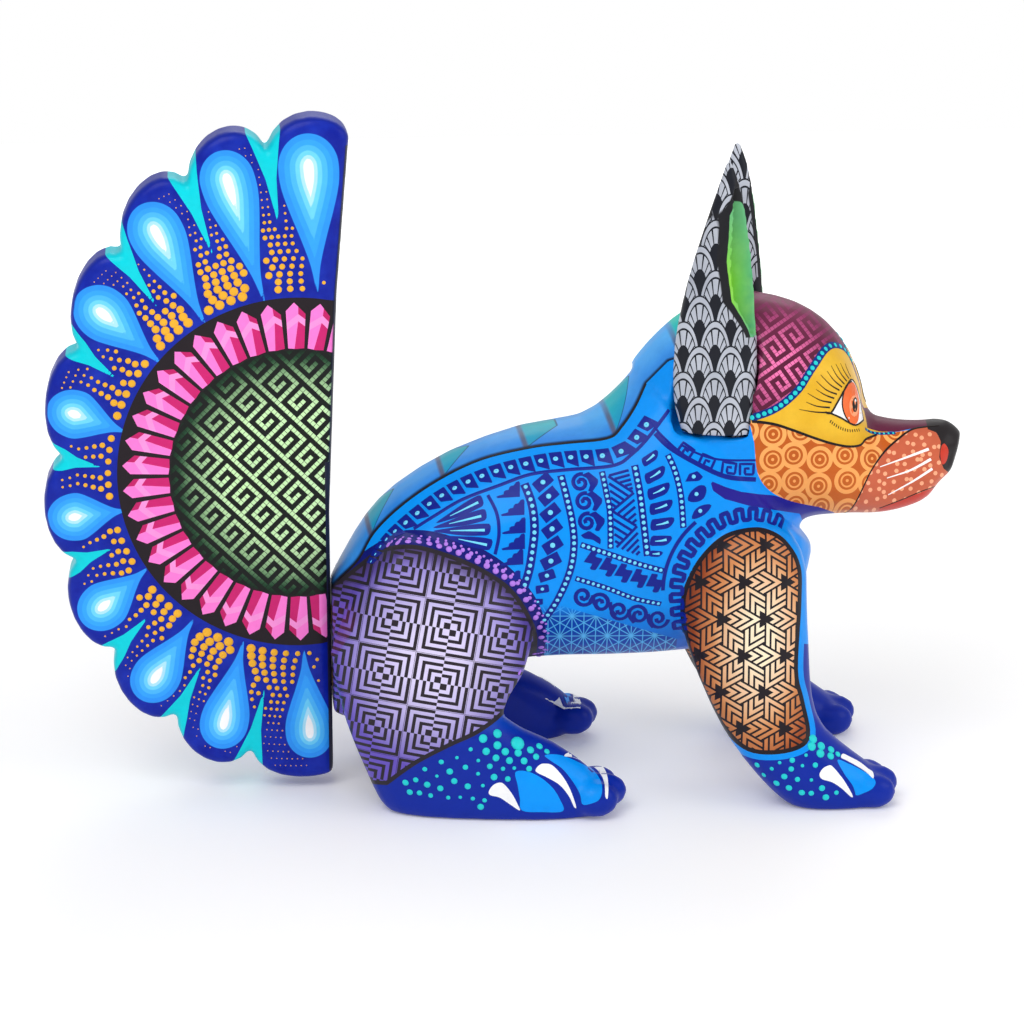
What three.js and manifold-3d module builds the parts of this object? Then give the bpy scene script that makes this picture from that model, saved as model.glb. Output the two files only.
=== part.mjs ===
// A carved and painted wooden animal with a fan tail, built from pegged blocks.
// Millimetres. +X runs from the tail to the nose, +Z is up, and the animal's right side is -Y.
import * as THREE from "three";
import { mergeVertices } from "three/addons/utils/BufferGeometryUtils.js";
import Module from "manifold-3d";

const wasm = await Module();
wasm.setup();

// Driving dimensions
const figureLength = 330; // tail rim to nose
const figureHeight = 246; // floor to the top of the fan
const figureWidth = 104; // over the hind feet
const gap = 0.3; // clearance between touching pieces
const legFit = 0.5; // clearance round a leg in the seat cut for it
const headTurn = 13; // degrees the head looks to the animal's right

const tailThickness = 20;
const tailEdgeRound = 3;
const petalCount = 10;
const petalNotch = 0.085; // depth of the cut between petals, as a share of the fan's radius

const seatFront = 23; // distance from the middle plane to the flat that a front leg is glued to
const seatHind = 22;
const dowelDiameter = 8;
const dowelLength = 25;
const neckDowelDiameter = 12;
const neckDowelLength = 40;
const tailPegDiameter = 7;
const tailPegDepth = 15; // length of a peg in the fan, and the same again in the rump
const earTenonDiameter = 7;
const earTenonLength = 9;
const earPocketClearance = 0.5;
const toeRadius = 6.8;

// The shape tables below are drawn for a figure of this size; sx, sy and sz stretch them.
const drawn = { length: 330, height: 246, width: 104 };
const sx = (x) => (x * figureLength) / drawn.length;
const sy = (y) => (y * figureWidth) / drawn.width;
const sz = (z) => (z * figureHeight) / drawn.height;

// Places shared by pieces that meet
const rumpX = sx(-66.5); // flat rear face of the torso
const neck = new THREE.Vector3(sx(74), 0, sz(124.5)); // middle of the neck joint
const neckNormal = new THREE.Vector3(1, 0, 1).normalize();
const headPivot = sx(80);
const earBase = sz(136); // flat bottom of the ears, inside the head
const earSeat = new THREE.Vector3(sx(83), sy(24), earBase);
const frontDowel = [sx(80), sz(76)];
const hindDowel = [sx(-33), sz(66)];
const tailPegHeights = [sz(64), sz(40)];

// ---- solids ----

function solidFrom(positions, triangles) {
  const build = (list) =>
    new wasm.Manifold(
      new wasm.Mesh({
        numProp: 3,
        vertProperties: new Float32Array(positions),
        triVerts: new Uint32Array(list),
      }),
    );
  const made = build(triangles);
  if (made.volume() > 0) return made;
  const flipped = [];
  for (let i = 0; i < triangles.length; i += 3) {
    flipped.push(triangles[i], triangles[i + 2], triangles[i + 1]);
  }
  return build(flipped);
}

function solidOf(geometry) {
  const bare = geometry.index ? geometry.toNonIndexed() : geometry.clone();
  bare.deleteAttribute("normal");
  bare.deleteAttribute("uv");
  const merged = mergeVertices(bare, 1e-3);
  return solidFrom(merged.attributes.position.array, Array.from(merged.index.array));
}

function rod(middle, direction, diameter, length, sides = 16) {
  const shape = new THREE.CylinderGeometry(diameter / 2, diameter / 2, length, sides);
  const turn = new THREE.Quaternion().setFromUnitVectors(
    new THREE.Vector3(0, 1, 0),
    direction.clone().normalize(),
  );
  shape.applyQuaternion(turn);
  shape.translate(middle.x, middle.y, middle.z);
  return solidOf(shape);
}

function block(lowest, highest) {
  const size = highest.map((v, i) => v - lowest[i]);
  const shape = new THREE.BoxGeometry(...size);
  shape.translate(...lowest.map((v, i) => v + size[i] / 2));
  return solidOf(shape);
}

// Everything on the torso side (side -1) or the head side (side +1) of the neck joint, short of the joint by half a gap.
function neckHalf(side) {
  const reach = 600;
  const shape = new THREE.BoxGeometry(reach, reach, reach);
  shape.rotateY(-Math.PI / 4);
  const shift = neckNormal.clone().multiplyScalar(side * (reach / 2 + gap / 2)).add(neck);
  shape.translate(shift.x, shift.y, shift.z);
  return solidOf(shape);
}

// A body drawn as ribs. A rib runs from point a to point b, with half width w and a roundness n: 2 is an ellipse, more is squarer.
function ribs(list, { ring = 20, rings = 18, grow = 0, turn = 0, mirror = false } = {}) {
  const side = mirror ? -1 : 1;
  const place = ([x, y, z]) => new THREE.Vector3(sx(x), sy(y * side), sz(z));
  const path = (points) => new THREE.CatmullRomCurve3(points, false, "catmullrom", 0.5);
  const pathA = path(list.map((r) => place(r.a)));
  const pathB = path(list.map((r) => place(r.b)));
  const pathW = path(list.map((r) => new THREE.Vector3(sy(r.w), r.n ?? 2, 0)));
  const loops = [];
  for (let i = 0; i <= rings; i++) {
    const a = pathA.getPoint(i / rings);
    const b = pathB.getPoint(i / rings);
    const { x: width, y: roundness } = pathW.getPoint(i / rings);
    const middle = a.clone().add(b).multiplyScalar(0.5);
    const half = b.clone().sub(a).multiplyScalar(0.5);
    half.setLength(half.length() + grow);
    loops.push({ middle, half, width: width + grow, power: 2 / roundness });
  }
  if (grow) {
    const ends = [
      [0, 1],
      [rings, rings - 1],
    ];
    for (const [end, next] of ends) {
      const out = loops[end].middle.clone().sub(loops[next].middle).setLength(2 * grow);
      loops[end].middle.add(out);
    }
  }
  const positions = [];
  const bend = (value, power) => Math.sign(value) * Math.abs(value) ** power;
  for (const { middle, half, width, power } of loops) {
    for (let k = 0; k < ring; k++) {
      const angle = (2 * Math.PI * k) / ring;
      const point = middle.clone().addScaledVector(half, bend(Math.cos(angle), power));
      point.y += width * bend(Math.sin(angle), power);
      positions.push(point.x, point.y, point.z);
    }
  }
  const first = positions.length / 3;
  positions.push(...loops[0].middle.toArray(), ...loops[rings].middle.toArray());
  const triangles = [];
  for (let i = 0; i < rings; i++) {
    for (let k = 0; k < ring; k++) {
      const [p, q] = [i * ring + k, i * ring + ((k + 1) % ring)];
      triangles.push(p, q, q + ring, p, q + ring, p + ring);
    }
  }
  for (let k = 0; k < ring; k++) {
    const next = (k + 1) % ring;
    triangles.push(first, next, k, first + 1, rings * ring + k, rings * ring + next);
  }
  if (turn) {
    const angle = THREE.MathUtils.degToRad(-turn);
    for (let i = 0; i < positions.length; i += 3) {
      const [dx, dy] = [positions[i] - headPivot, positions[i + 1]];
      positions[i] = headPivot + dx * Math.cos(angle) - dy * Math.sin(angle);
      positions[i + 1] = dx * Math.sin(angle) + dy * Math.cos(angle);
    }
  }
  return solidFrom(positions, triangles);
}

function turned(x, y, z) {
  const angle = THREE.MathUtils.degToRad(-headTurn);
  const dx = x - headPivot;
  return new THREE.Vector3(
    headPivot + dx * Math.cos(angle) - y * Math.sin(angle),
    dx * Math.sin(angle) + y * Math.cos(angle),
    z,
  );
}

// ---- shape tables ----

const torsoRibs = [
  { a: [-66.5, 0, 77], b: [-66.5, 0, 28], w: 23, n: 2.3 },
  { a: [-61, 0, 88], b: [-60, 0, 25], w: 27 },
  { a: [-53, 0, 101], b: [-52, 0, 27], w: 31 },
  { a: [-42, 0, 112], b: [-38, 0, 33], w: 35 },
  { a: [-22, 0, 124], b: [-18, 0, 41], w: 37 },
  { a: [4, 0, 133], b: [6, 0, 47], w: 38 },
  { a: [25, 0, 136.5], b: [34, 0, 47], w: 38 },
  { a: [36, 0, 144], b: [66, 0, 48], w: 37 },
  { a: [44, 0, 153], b: [92, 0, 54], w: 35 },
  { a: [50, 0, 161], b: [108.5, 0, 74], w: 33 },
  { a: [56, 0, 168], b: [110, 0, 92], w: 32 },
  { a: [66, 0, 174], b: [108, 0, 101], w: 32 },
];

const headRibs = [
  { a: [40, 0, 150], b: [103, 0, 86], w: 31 },
  { a: [50, 0, 163], b: [107, 0, 97], w: 31.5 },
  { a: [62, 0, 174], b: [110, 0, 99], w: 32.5 },
  { a: [78, 0, 181.5], b: [114, 0, 100], w: 32.5 },
  { a: [98, 0, 179.5], b: [119, 0, 100.5], w: 31 },
  { a: [112, 0, 172.5], b: [125, 0, 101], w: 28 },
  { a: [121, 0, 162], b: [131, 0, 101], w: 24 },
  { a: [126.5, 0, 149], b: [136, 0, 101.5], w: 19.5 },
  { a: [131.5, 0, 138], b: [141, 0, 102.5], w: 16 },
  { a: [144, 0, 135.5], b: [148, 0, 105], w: 14 },
  { a: [157, 0, 136.5], b: [156, 0, 109], w: 11.5 },
  { a: [163.5, 0, 132], b: [160.5, 0, 116], w: 7 },
];

const frontLegRibs = [
  { a: [78, -31, 104], b: [87, -31, 104.5], w: 5 },
  { a: [67, -31, 98], b: [97, -31, 100], w: 10.5 },
  { a: [59, -31.5, 86], b: [103, -31.5, 89], w: 14.5 },
  { a: [57, -32, 72], b: [104, -32, 71], w: 15.5 },
  { a: [61, -33, 56], b: [105, -33, 54], w: 15 },
  { a: [66, -35, 43], b: [106, -35, 39], w: 14 },
  { a: [72, -36.5, 30], b: [110, -37, 28], w: 13 },
  { a: [79, -38, 19], b: [120, -39, 19], w: 13, n: 2.2 },
  { a: [87, -39, 9], b: [130, -40, 11], w: 13.5, n: 2.4 },
  { a: [93, -39, 3], b: [132.5, -40, 4], w: 13, n: 2.5 },
  { a: [97, -39, 0], b: [130, -40, 0], w: 11.5, n: 2.5 },
];

const hindLegRibs = [
  { a: [-50, -28.5, 101], b: [-41, -28.5, 101.5], w: 4.5 },
  { a: [-60, -29.5, 95.5], b: [-27, -29.5, 97.5], w: 8.5 },
  { a: [-66, -31, 83.5], b: [-9, -31, 85.5], w: 12.5 },
  { a: [-68.5, -33, 68], b: [4, -33.5, 69], w: 16 },
  { a: [-67, -33, 50], b: [1, -35, 51], w: 17 },
  { a: [-63, -33, 33], b: [-7, -38, 36], w: 15 },
  { a: [-58, -33, 19], b: [11, -40, 26], w: 13.5, n: 2.1 },
  { a: [-54, -33, 9], b: [25, -43, 16], w: 13, n: 2.3 },
  { a: [-51, -33, 3], b: [29, -44, 6], w: 12.5, n: 2.5 },
  { a: [-48, -33, 0], b: [26, -44, 0], w: 11, n: 2.5 },
];

// The lower ear keeps one section up to the crown, so that it lifts straight out of its pocket.
const widestEarRib = 1;
const earRibs = [
  { a: [64, -26, 136], b: [91, -26, 136], w: 8.3, n: 2.2 },
  { a: [61, -26, 149], b: [91, -26, 149], w: 8.5, n: 2.3 },
  { a: [61.5, -25.5, 169], b: [90.5, -25.5, 169], w: 8, n: 2.3 },
  { a: [65.5, -25, 190], b: [89, -23.5, 190], w: 6.8, n: 2.2 },
  { a: [71, -24, 209], b: [86.5, -22.5, 209], w: 5 },
  { a: [75.5, -22.5, 223], b: [83.5, -22, 223], w: 3 },
  { a: [78.4, -22, 232], b: [80.2, -22, 232], w: 1.1 },
];

// The hollow of the ear opens forwards and a little outwards.
const scoopRibs = [
  { a: [82, -26, 172], b: [100, -27, 172], w: 2.5 },
  { a: [77, -26, 184], b: [100, -28, 184], w: 4.4 },
  { a: [76, -25, 198], b: [98, -27, 198], w: 4.2 },
  { a: [77.5, -23.8, 212], b: [93, -25.5, 212], w: 2.8 },
  { a: [79, -23, 223], b: [88, -24, 223], w: 1.2 },
];

// ---- pieces ----

const beyond = (sign, distance) =>
  sign < 0 ? block([-400, -400, -50], [400, -distance, 500]) : block([-400, distance, -50], [400, 400, 500]);

function legDowelHole([x, z], sign, seat, extra) {
  const middle = new THREE.Vector3(x, sign * seat, z);
  return rod(middle, new THREE.Vector3(0, 1, 0), dowelDiameter + 2 * extra, dowelLength + 4 * extra);
}

function tailPeg(z, extra) {
  const middle = new THREE.Vector3(rumpX - gap / 2, 0, z);
  return rod(middle, new THREE.Vector3(1, 0, 0), tailPegDiameter + 2 * extra, 2 * tailPegDepth + 4 * extra);
}

function neckDowel(extra) {
  return rod(neck, neckNormal, neckDowelDiameter + 2 * extra, neckDowelLength + 4 * extra);
}

function torso() {
  let body = ribs(torsoRibs, { ring: 28, rings: 22 }).intersect(neckHalf(-1));
  for (const sign of [-1, 1]) {
    const front = ribs(frontLegRibs, { grow: legFit, mirror: sign > 0 }).intersect(beyond(sign, seatFront));
    const hind = ribs(hindLegRibs, { grow: legFit, mirror: sign > 0 }).intersect(beyond(sign, seatHind));
    body = body.subtract(front).subtract(hind);
    body = body.subtract(legDowelHole(frontDowel, sign, seatFront, gap));
    body = body.subtract(legDowelHole(hindDowel, sign, seatHind, gap));
  }
  for (const z of tailPegHeights) body = body.subtract(tailPeg(z, gap));
  body = body.subtract(earPocket(-1)).subtract(earPocket(1)); // the pockets' rear corners reach into the neck
  return body.subtract(neckDowel(gap));
}

function ear(sign) {
  const options = { ring: 20, rings: 16, turn: headTurn, mirror: sign > 0 };
  const leaf = ribs(earRibs, options).subtract(ribs(scoopRibs, { ...options, rings: 10 }));
  const tenonTop = 2;
  const middle = turned(earSeat.x, sign * earSeat.y, earBase - earTenonLength / 2 + tenonTop / 2);
  return leaf.add(rod(middle, new THREE.Vector3(0, 0, 1), earTenonDiameter, earTenonLength + tenonTop));
}

// The pocket is a prism of the ear's lowest section, open at the top, with the tenon's hole under it.
function earPocket(sign) {
  const base = earRibs[widestEarRib];
  const rise = (z) => ({ ...base, a: [base.a[0], base.a[1], z], b: [base.b[0], base.b[1], z] });
  const low = (earBase / figureHeight) * drawn.height;
  const prism = ribs([rise(low), rise(low + 30), rise(low + 60)], {
    ring: 20,
    rings: 2,
    grow: earPocketClearance,
    turn: headTurn,
    mirror: sign > 0,
  });
  const depth = earTenonLength + 2;
  const middle = turned(earSeat.x, sign * earSeat.y, earBase - depth / 2);
  const hole = rod(middle, new THREE.Vector3(0, 0, 1), earTenonDiameter + 2 * earPocketClearance, depth + 2);
  return prism.add(hole);
}

function head() {
  let body = ribs(headRibs, { ring: 28, rings: 26, turn: headTurn }).intersect(neckHalf(1));
  body = body.subtract(earPocket(-1)).subtract(earPocket(1));
  return body.subtract(neckDowel(gap));
}

function toes(list, sign) {
  return list.map(([x, y, z]) => {
    const shape = new THREE.SphereGeometry(toeRadius, 10, 7);
    shape.scale(1.25, 0.8, 1);
    shape.translate(sx(x), sy(y) * sign, sz(z));
    return solidOf(shape);
  });
}

function leg(table, toeList, seat, dowel, sign) {
  let body = ribs(table, { mirror: sign > 0 });
  for (const toe of toes(toeList, sign)) body = body.add(toe);
  body = body.intersect(beyond(sign, seat + gap));
  body = body.intersect(block([-400, -400, 0], [400, 400, 500]));
  return body.subtract(legDowelHole(dowel, sign, seat, gap));
}

const frontToes = [
  [127, 31.5, 6],
  [129.5, 40, 6.5],
  [127, 48, 6],
];
const hindToes = [
  [27, 35.5, 8.3],
  [29.5, 43.3, 8],
  [25.5, 50.5, 7.2],
];

// Fan: petals sit at equal steps round an ellipse, and the straight edge faces the rump.
function tailOutline() {
  const centre = [sx(-78), sz(120)];
  const reach = { out: sx(91), up: sz(127), down: sz(117) };
  const start = 76;
  const end = 277;
  const step = (end - start) / petalCount;
  const at = (degrees, share) => {
    const angle = THREE.MathUtils.degToRad(degrees);
    const tall = Math.sin(angle) > 0 ? reach.up : reach.down;
    return [
      centre[0] + reach.out * share * Math.cos(angle),
      centre[1] + tall * share * Math.sin(angle),
    ];
  };
  const edgeX = rumpX - gap;
  const shape = new THREE.Shape();
  const foot = [edgeX, at(end, 0.98)[1]];
  shape.moveTo(...foot);
  shape.lineTo(edgeX, sz(105));
  shape.lineTo(sx(-63), sz(185));
  shape.lineTo(sx(-58), sz(241));
  for (let i = 0; i < petalCount; i++) {
    const from = start + i * step;
    const notch = i === petalCount - 1 ? foot : at(from + step, 1 - petalNotch);
    const rise = at(from + step * 0.16, 1.045);
    const fall = i === petalCount - 1 ? [edgeX, foot[1] - sz(3)] : at(from + step * 0.84, 1.045);
    shape.bezierCurveTo(...rise, ...fall, ...notch);
  }
  return shape;
}

// A board in the XZ plane, cut to an outline, with its edges rounded over by stepping the outline inwards.
function board(outline, thickness, round) {
  const count = outline.length;
  const inward = outline.map((point, i) => {
    const before = outline[(i + count - 1) % count];
    const after = outline[(i + 1) % count];
    const along = after.clone().sub(before).normalize();
    return new THREE.Vector2(-along.y, along.x);
  });
  const half = thickness / 2;
  const levels = [
    [-half, round],
    [-half + 0.3 * round, 0.3 * round],
    [-half + round, 0],
    [half - round, 0],
    [half - 0.3 * round, 0.3 * round],
    [half, round],
  ];
  const positions = [];
  for (const [y, inset] of levels) {
    outline.forEach((point, i) => {
      const moved = point.clone().addScaledVector(inward[i], inset);
      positions.push(moved.x, y, moved.y);
    });
  }
  const triangles = [];
  for (let level = 0; level < levels.length - 1; level++) {
    for (let i = 0; i < count; i++) {
      const [p, q] = [level * count + i, level * count + ((i + 1) % count)];
      triangles.push(p, q, q + count, p, q + count, p + count);
    }
  }
  const top = (levels.length - 1) * count;
  for (const [i, j, k] of THREE.ShapeUtils.triangulateShape(outline, [])) {
    triangles.push(i, k, j, top + i, top + j, top + k);
  }
  return solidFrom(positions, triangles);
}

function tailFan() {
  let outline = tailOutline().getPoints(8);
  if (outline[0].distanceTo(outline.at(-1)) < gap) outline = outline.slice(0, -1);
  if (THREE.ShapeUtils.isClockWise(outline)) outline.reverse();
  let fan = board(outline, tailThickness, tailEdgeRound);
  for (const z of tailPegHeights) fan = fan.subtract(tailPeg(z, gap));
  return fan;
}

// ---- assembly ----

const paint = (color, roughness = 0.45) =>
  new THREE.MeshStandardMaterial({ color, roughness, metalness: 0 });
const bareWood = paint(0xc9a26b, 0.75);

const figure = new THREE.Group();
figure.name = "alebrije_figure";

function piece(name, solid, material) {
  const { vertProperties, triVerts, numProp } = solid.getMesh();
  const positions = new Float32Array((vertProperties.length / numProp) * 3);
  for (let i = 0; i < positions.length / 3; i++) {
    positions.set(vertProperties.subarray(i * numProp, i * numProp + 3), i * 3);
  }
  const geometry = new THREE.BufferGeometry();
  geometry.setAttribute("position", new THREE.BufferAttribute(positions, 3));
  geometry.setIndex(new THREE.BufferAttribute(triVerts, 1));
  geometry.computeVertexNormals();
  const mesh = new THREE.Mesh(geometry, material);
  mesh.name = name;
  figure.add(mesh);
}

piece("torso", torso(), paint(0x0a86e0));
piece("head", head(), paint(0xd07a3c));
piece("neck_dowel", neckDowel(0), bareWood);
piece("tail_fan", tailFan(), paint(0x14309a));
tailPegHeights.forEach((z, i) => {
  piece(["tail_peg_upper", "tail_peg_lower"][i], tailPeg(z, 0), bareWood);
});
for (const [side, sign] of [
  ["right", -1],
  ["left", 1],
]) {
  piece("ear_" + side, ear(sign), paint(0x8f949c));
  piece("leg_front_" + side, leg(frontLegRibs, frontToes, seatFront, frontDowel, sign), paint(0xc98a5a));
  piece("leg_hind_" + side, leg(hindLegRibs, hindToes, seatHind, hindDowel, sign), paint(0x6a5fa0));
  piece("dowel_front_" + side, legDowelHole(frontDowel, sign, seatFront, 0), bareWood);
  piece("dowel_hind_" + side, legDowelHole(hindDowel, sign, seatHind, 0), bareWood);
}

// The origin is on the floor, under the middle of the whole figure.
const box = new THREE.Box3().setFromObject(figure);
figure.children.forEach((mesh) => {
  mesh.position.set(-(box.min.x + box.max.x) / 2, -(box.min.y + box.max.y) / 2, -box.min.z);
});

export default figure;
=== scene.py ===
import math
import bpy
import bmesh
import numpy as np
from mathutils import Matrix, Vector
from mathutils.bvhtree import BVHTree
from mathutils.geometry import delaunay_2d_cdt as delaunay


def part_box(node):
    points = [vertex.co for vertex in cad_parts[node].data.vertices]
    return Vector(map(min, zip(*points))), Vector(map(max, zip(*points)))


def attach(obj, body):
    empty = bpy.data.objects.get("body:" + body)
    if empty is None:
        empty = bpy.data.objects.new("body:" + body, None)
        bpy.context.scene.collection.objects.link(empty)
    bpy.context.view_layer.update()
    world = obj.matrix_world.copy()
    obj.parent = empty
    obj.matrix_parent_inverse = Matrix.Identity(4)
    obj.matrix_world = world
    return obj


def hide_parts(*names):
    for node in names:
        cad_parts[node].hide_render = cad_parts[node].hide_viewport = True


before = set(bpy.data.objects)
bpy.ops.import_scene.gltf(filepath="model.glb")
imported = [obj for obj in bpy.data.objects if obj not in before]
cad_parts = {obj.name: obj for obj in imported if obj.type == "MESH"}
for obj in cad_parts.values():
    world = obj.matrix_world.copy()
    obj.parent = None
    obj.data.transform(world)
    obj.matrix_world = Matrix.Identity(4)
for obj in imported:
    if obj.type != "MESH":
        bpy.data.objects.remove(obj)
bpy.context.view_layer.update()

mm = 0.001
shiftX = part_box("torso")[0][0] / mm + 66.5  # the shape tables are drawn with the rump's flat face at -66.5
headTurn = dict(pivot=80.0, degrees=13.0)


def srgb(r, g, b):
    # screen values from 0 to 255 as a linear colour
    linear = [v / 255 / 12.92 if v <= 10 else ((v / 255 + 0.055) / 1.055) ** 2.4 for v in (r, g, b)]
    return (*linear, 1.0)


# camera and lights, in metres and watts
cameraSetup = dict(target=(shiftX * mm, 0.0, 0.101), azimuth=-5.5, elevation=15.5, distance=1.2,
                   lens=115.6, sensor=36)
worldSetup = dict(light=0.62, backdrop=1.0)
lightSetup = dict(key=dict(place=(-0.5, -0.9, 1.3), size=0.9, power=9.0),
                  fill=dict(place=(1.1, -0.6, 0.7), size=0.8, power=3.5),
                  back=dict(place=(0.2, 1.1, 1.0), size=0.9, power=3.0))
lightAim = Vector((0, 0, 0.1))


def addCamera():
    azimuth = math.radians(cameraSetup["azimuth"])
    elevation = math.radians(cameraSetup["elevation"])
    target = Vector(cameraSetup["target"])
    flat = math.cos(elevation)
    away = Vector((math.sin(azimuth) * flat, -math.cos(azimuth) * flat, math.sin(elevation)))
    data = bpy.data.cameras.new("camera")
    data.lens = cameraSetup["lens"]
    data.sensor_width = cameraSetup["sensor"]
    camera = bpy.data.objects.new("camera", data)
    camera.location = target + away * cameraSetup["distance"]
    camera.rotation_euler = (-away).to_track_quat("-Z", "Y").to_euler()
    bpy.context.scene.collection.objects.link(camera)
    bpy.context.scene.camera = camera


def addLight(name, place, size, power):
    data = bpy.data.lights.new(name, "AREA")
    data.size = size
    data.energy = power
    light = bpy.data.objects.new(name, data)
    light.location = place
    light.rotation_euler = (lightAim - Vector(place)).to_track_quat("-Z", "Y").to_euler()
    bpy.context.scene.collection.objects.link(light)


addCamera()
for name, setup in lightSetup.items():
    addLight(name, **setup)
bpy.context.scene.view_settings.view_transform = "Standard"
world = bpy.data.worlds.new("studio")
world.use_nodes = True
background = world.node_tree.nodes["Background"]
background.inputs["Color"].default_value = (1, 1, 1, 1)
# the camera sees a whiter backdrop than the light that falls on the figure
seen = world.node_tree.nodes.new("ShaderNodeLightPath")
strength = world.node_tree.nodes.new("ShaderNodeMapRange")
strength.inputs["To Min"].default_value = worldSetup["light"]
strength.inputs["To Max"].default_value = worldSetup["backdrop"]
world.node_tree.links.new(seen.outputs["Is Camera Ray"], strength.inputs["Value"])
world.node_tree.links.new(strength.outputs["Result"], background.inputs["Strength"])
bpy.context.scene.world = world
print("camera and lights ready")


class Wire:  # a node socket that can be used in sums
    def __init__(self, shader, socket):
        self.shader = shader
        self.socket = socket

    def math(self, operation, *others):
        return self.shader.node("ShaderNodeMath", dict(operation=operation), [self, *others])

    def __rsub__(self, other):
        return self.shader.node("ShaderNodeMath", dict(operation="SUBTRACT"), [other, self])

    def clamp(self):
        return self.max(0).min(1)

    def ramp(self, low, high):  # 0 below low, 1 above high
        return self.shader.node("ShaderNodeMapRange", dict(clamp=True), {0: self, 1: low, 2: high})


def mathMethod(operation):
    def method(self, *others):
        return self.math(operation, *others)
    return method


wireMath = dict(__add__="ADD", __radd__="ADD", __sub__="SUBTRACT", __mul__="MULTIPLY", __rmul__="MULTIPLY",
                __truediv__="DIVIDE", __lt__="LESS_THAN", __gt__="GREATER_THAN", abs="ABSOLUTE",
                sqrt="SQRT", floor="FLOOR", fract="FRACT", sin="SINE", cos="COSINE", min="MINIMUM",
                max="MAXIMUM", mod="FLOORED_MODULO", angle="ARCTAN2")
for title, operation in wireMath.items():
    setattr(Wire, title, mathMethod(operation))


class Shader:  # one material built with Python sums
    def __init__(self, name):
        self.material = bpy.data.materials.new(name)
        self.material.use_nodes = True
        self.tree = self.material.node_tree
        self.tree.nodes.clear()

    def node(self, kind, settings=None, inputs=None, out=0):
        made = self.tree.nodes.new(kind)
        for key, value in (settings or {}).items():
            setattr(made, key, value)
        pairs = inputs.items() if isinstance(inputs, dict) else enumerate(inputs or [])
        for key, value in pairs:
            if isinstance(value, Wire):
                self.tree.links.new(value.socket, made.inputs[key])
            elif value is not None:
                made.inputs[key].default_value = value
        return Wire(self, made.outputs[out]) if made.outputs else None

    def objectVector(self):
        return self.node("ShaderNodeTexCoord", out="Object")

    def field(self, name):
        return self.node("ShaderNodeAttribute", dict(attribute_name=name), out="Fac")

    def noise(self, scale, detail=2.0, rough=0.5, vector=None, out="Fac"):
        return self.node("ShaderNodeTexNoise", None,
                         {"Vector": vector or self.objectVector(), "Scale": scale, "Detail": detail,
                          "Roughness": rough}, out)

    def mix(self, factor, first, second):
        return self.node("ShaderNodeMix", dict(data_type="RGBA"),
                         {0: factor, 6: first, 7: second}, 2)

    def tint(self, colour, factor):  # colour times a number
        grey = self.node("ShaderNodeCombineColor", None, [factor, factor, factor])
        return self.node("ShaderNodeMix", dict(data_type="RGBA", blend_type="MULTIPLY"),
                         {0: 1.0, 6: colour, 7: grey}, 2)

    def finish(self, colour, roughness=0.36, coat=0.08, bump=0.5):
        # hand painted: streaks of the brush, thin and thick paint, satin varnish over carved wood
        brushed = self.noise(420.0, 3.0, 0.6)
        broad = self.noise(55.0, 2.0)
        shade = self.tint(colour, brushed * 0.16 + broad * 0.22 + 0.81)
        carved = self.noise(38.0, 1.0)
        height = brushed * 0.00010 + carved * 0.0010
        normal = self.node("ShaderNodeBump", None, {"Strength": bump, "Distance": 1.0, "Height": height})
        rough = brushed * 0.16 + (roughness - 0.08)
        bsdf = self.node("ShaderNodeBsdfPrincipled", None, {
            "Base Color": shade, "Roughness": rough, "Normal": normal,
            "Coat Weight": coat, "Coat Roughness": 0.2, "IOR": 1.45, "Specular IOR Level": 0.14})
        self.node("ShaderNodeOutputMaterial", None, {"Surface": bsdf})
        return self.material


# fine carving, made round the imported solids
carving = dict(fatten=0.45 * mm, voxel=1.05 * mm, smoothing=9)


def nodeMesh(names):
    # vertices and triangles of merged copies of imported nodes
    made = bmesh.new()
    for name in names:
        made.from_mesh(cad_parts[name].data)
    bmesh.ops.remove_doubles(made, verts=made.verts, dist=1e-6)
    return made


def objectFrom(name, vertices, faces):
    mesh = bpy.data.meshes.new(name)
    mesh.from_pydata([tuple(v) for v in vertices], [], [tuple(f) for f in faces])
    mesh.update()
    made = bpy.data.objects.new(name, mesh)
    bpy.context.scene.collection.objects.link(made)
    return made


def meshArrays(mesh):
    points = np.empty(len(mesh.vertices) * 3)
    mesh.vertices.foreach_get("co", points)
    return points.reshape(-1, 3)


def relaxed(points, faces, times, factor=0.5):
    # plain smoothing over the edges of quads and triangles
    edges = np.concatenate([faces[:, [i, (i + 1) % faces.shape[1]]] for i in range(faces.shape[1])])
    edges = edges[edges[:, 0] != edges[:, 1]]
    count = np.zeros(len(points))
    np.add.at(count, edges[:, 0], 1)
    np.add.at(count, edges[:, 1], 1)
    for _ in range(times):
        total = np.zeros_like(points)
        np.add.at(total, edges[:, 0], points[edges[:, 1]])
        np.add.at(total, edges[:, 1], points[edges[:, 0]])
        points = points + factor * (total / count[:, None] - points)
    return points


def carved(names, voxel, fatten, smoothing):
    # one closed fine surface round several solids
    made = nodeMesh(names)
    made.normal_update()
    for vertex in made.verts:
        vertex.co += vertex.normal * fatten
    mesh = bpy.data.meshes.new("blank")
    made.to_mesh(mesh)
    made.free()
    blank = bpy.data.objects.new("blank", mesh)
    bpy.context.scene.collection.objects.link(blank)
    remesh = blank.modifiers.new("remesh", "REMESH")
    remesh.mode = "VOXEL"
    remesh.voxel_size = voxel
    fine = bpy.data.meshes.new_from_object(blank.evaluated_get(bpy.context.evaluated_depsgraph_get()))
    bpy.data.objects.remove(blank)
    points = meshArrays(fine)
    faces = np.array([tuple(p.vertices) for p in fine.polygons])
    bpy.data.meshes.remove(fine)
    points, faces = largestShell(points, faces)
    points = relaxed(points, faces, smoothing)
    return points - normalsOf(points, faces) * fatten, faces


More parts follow.
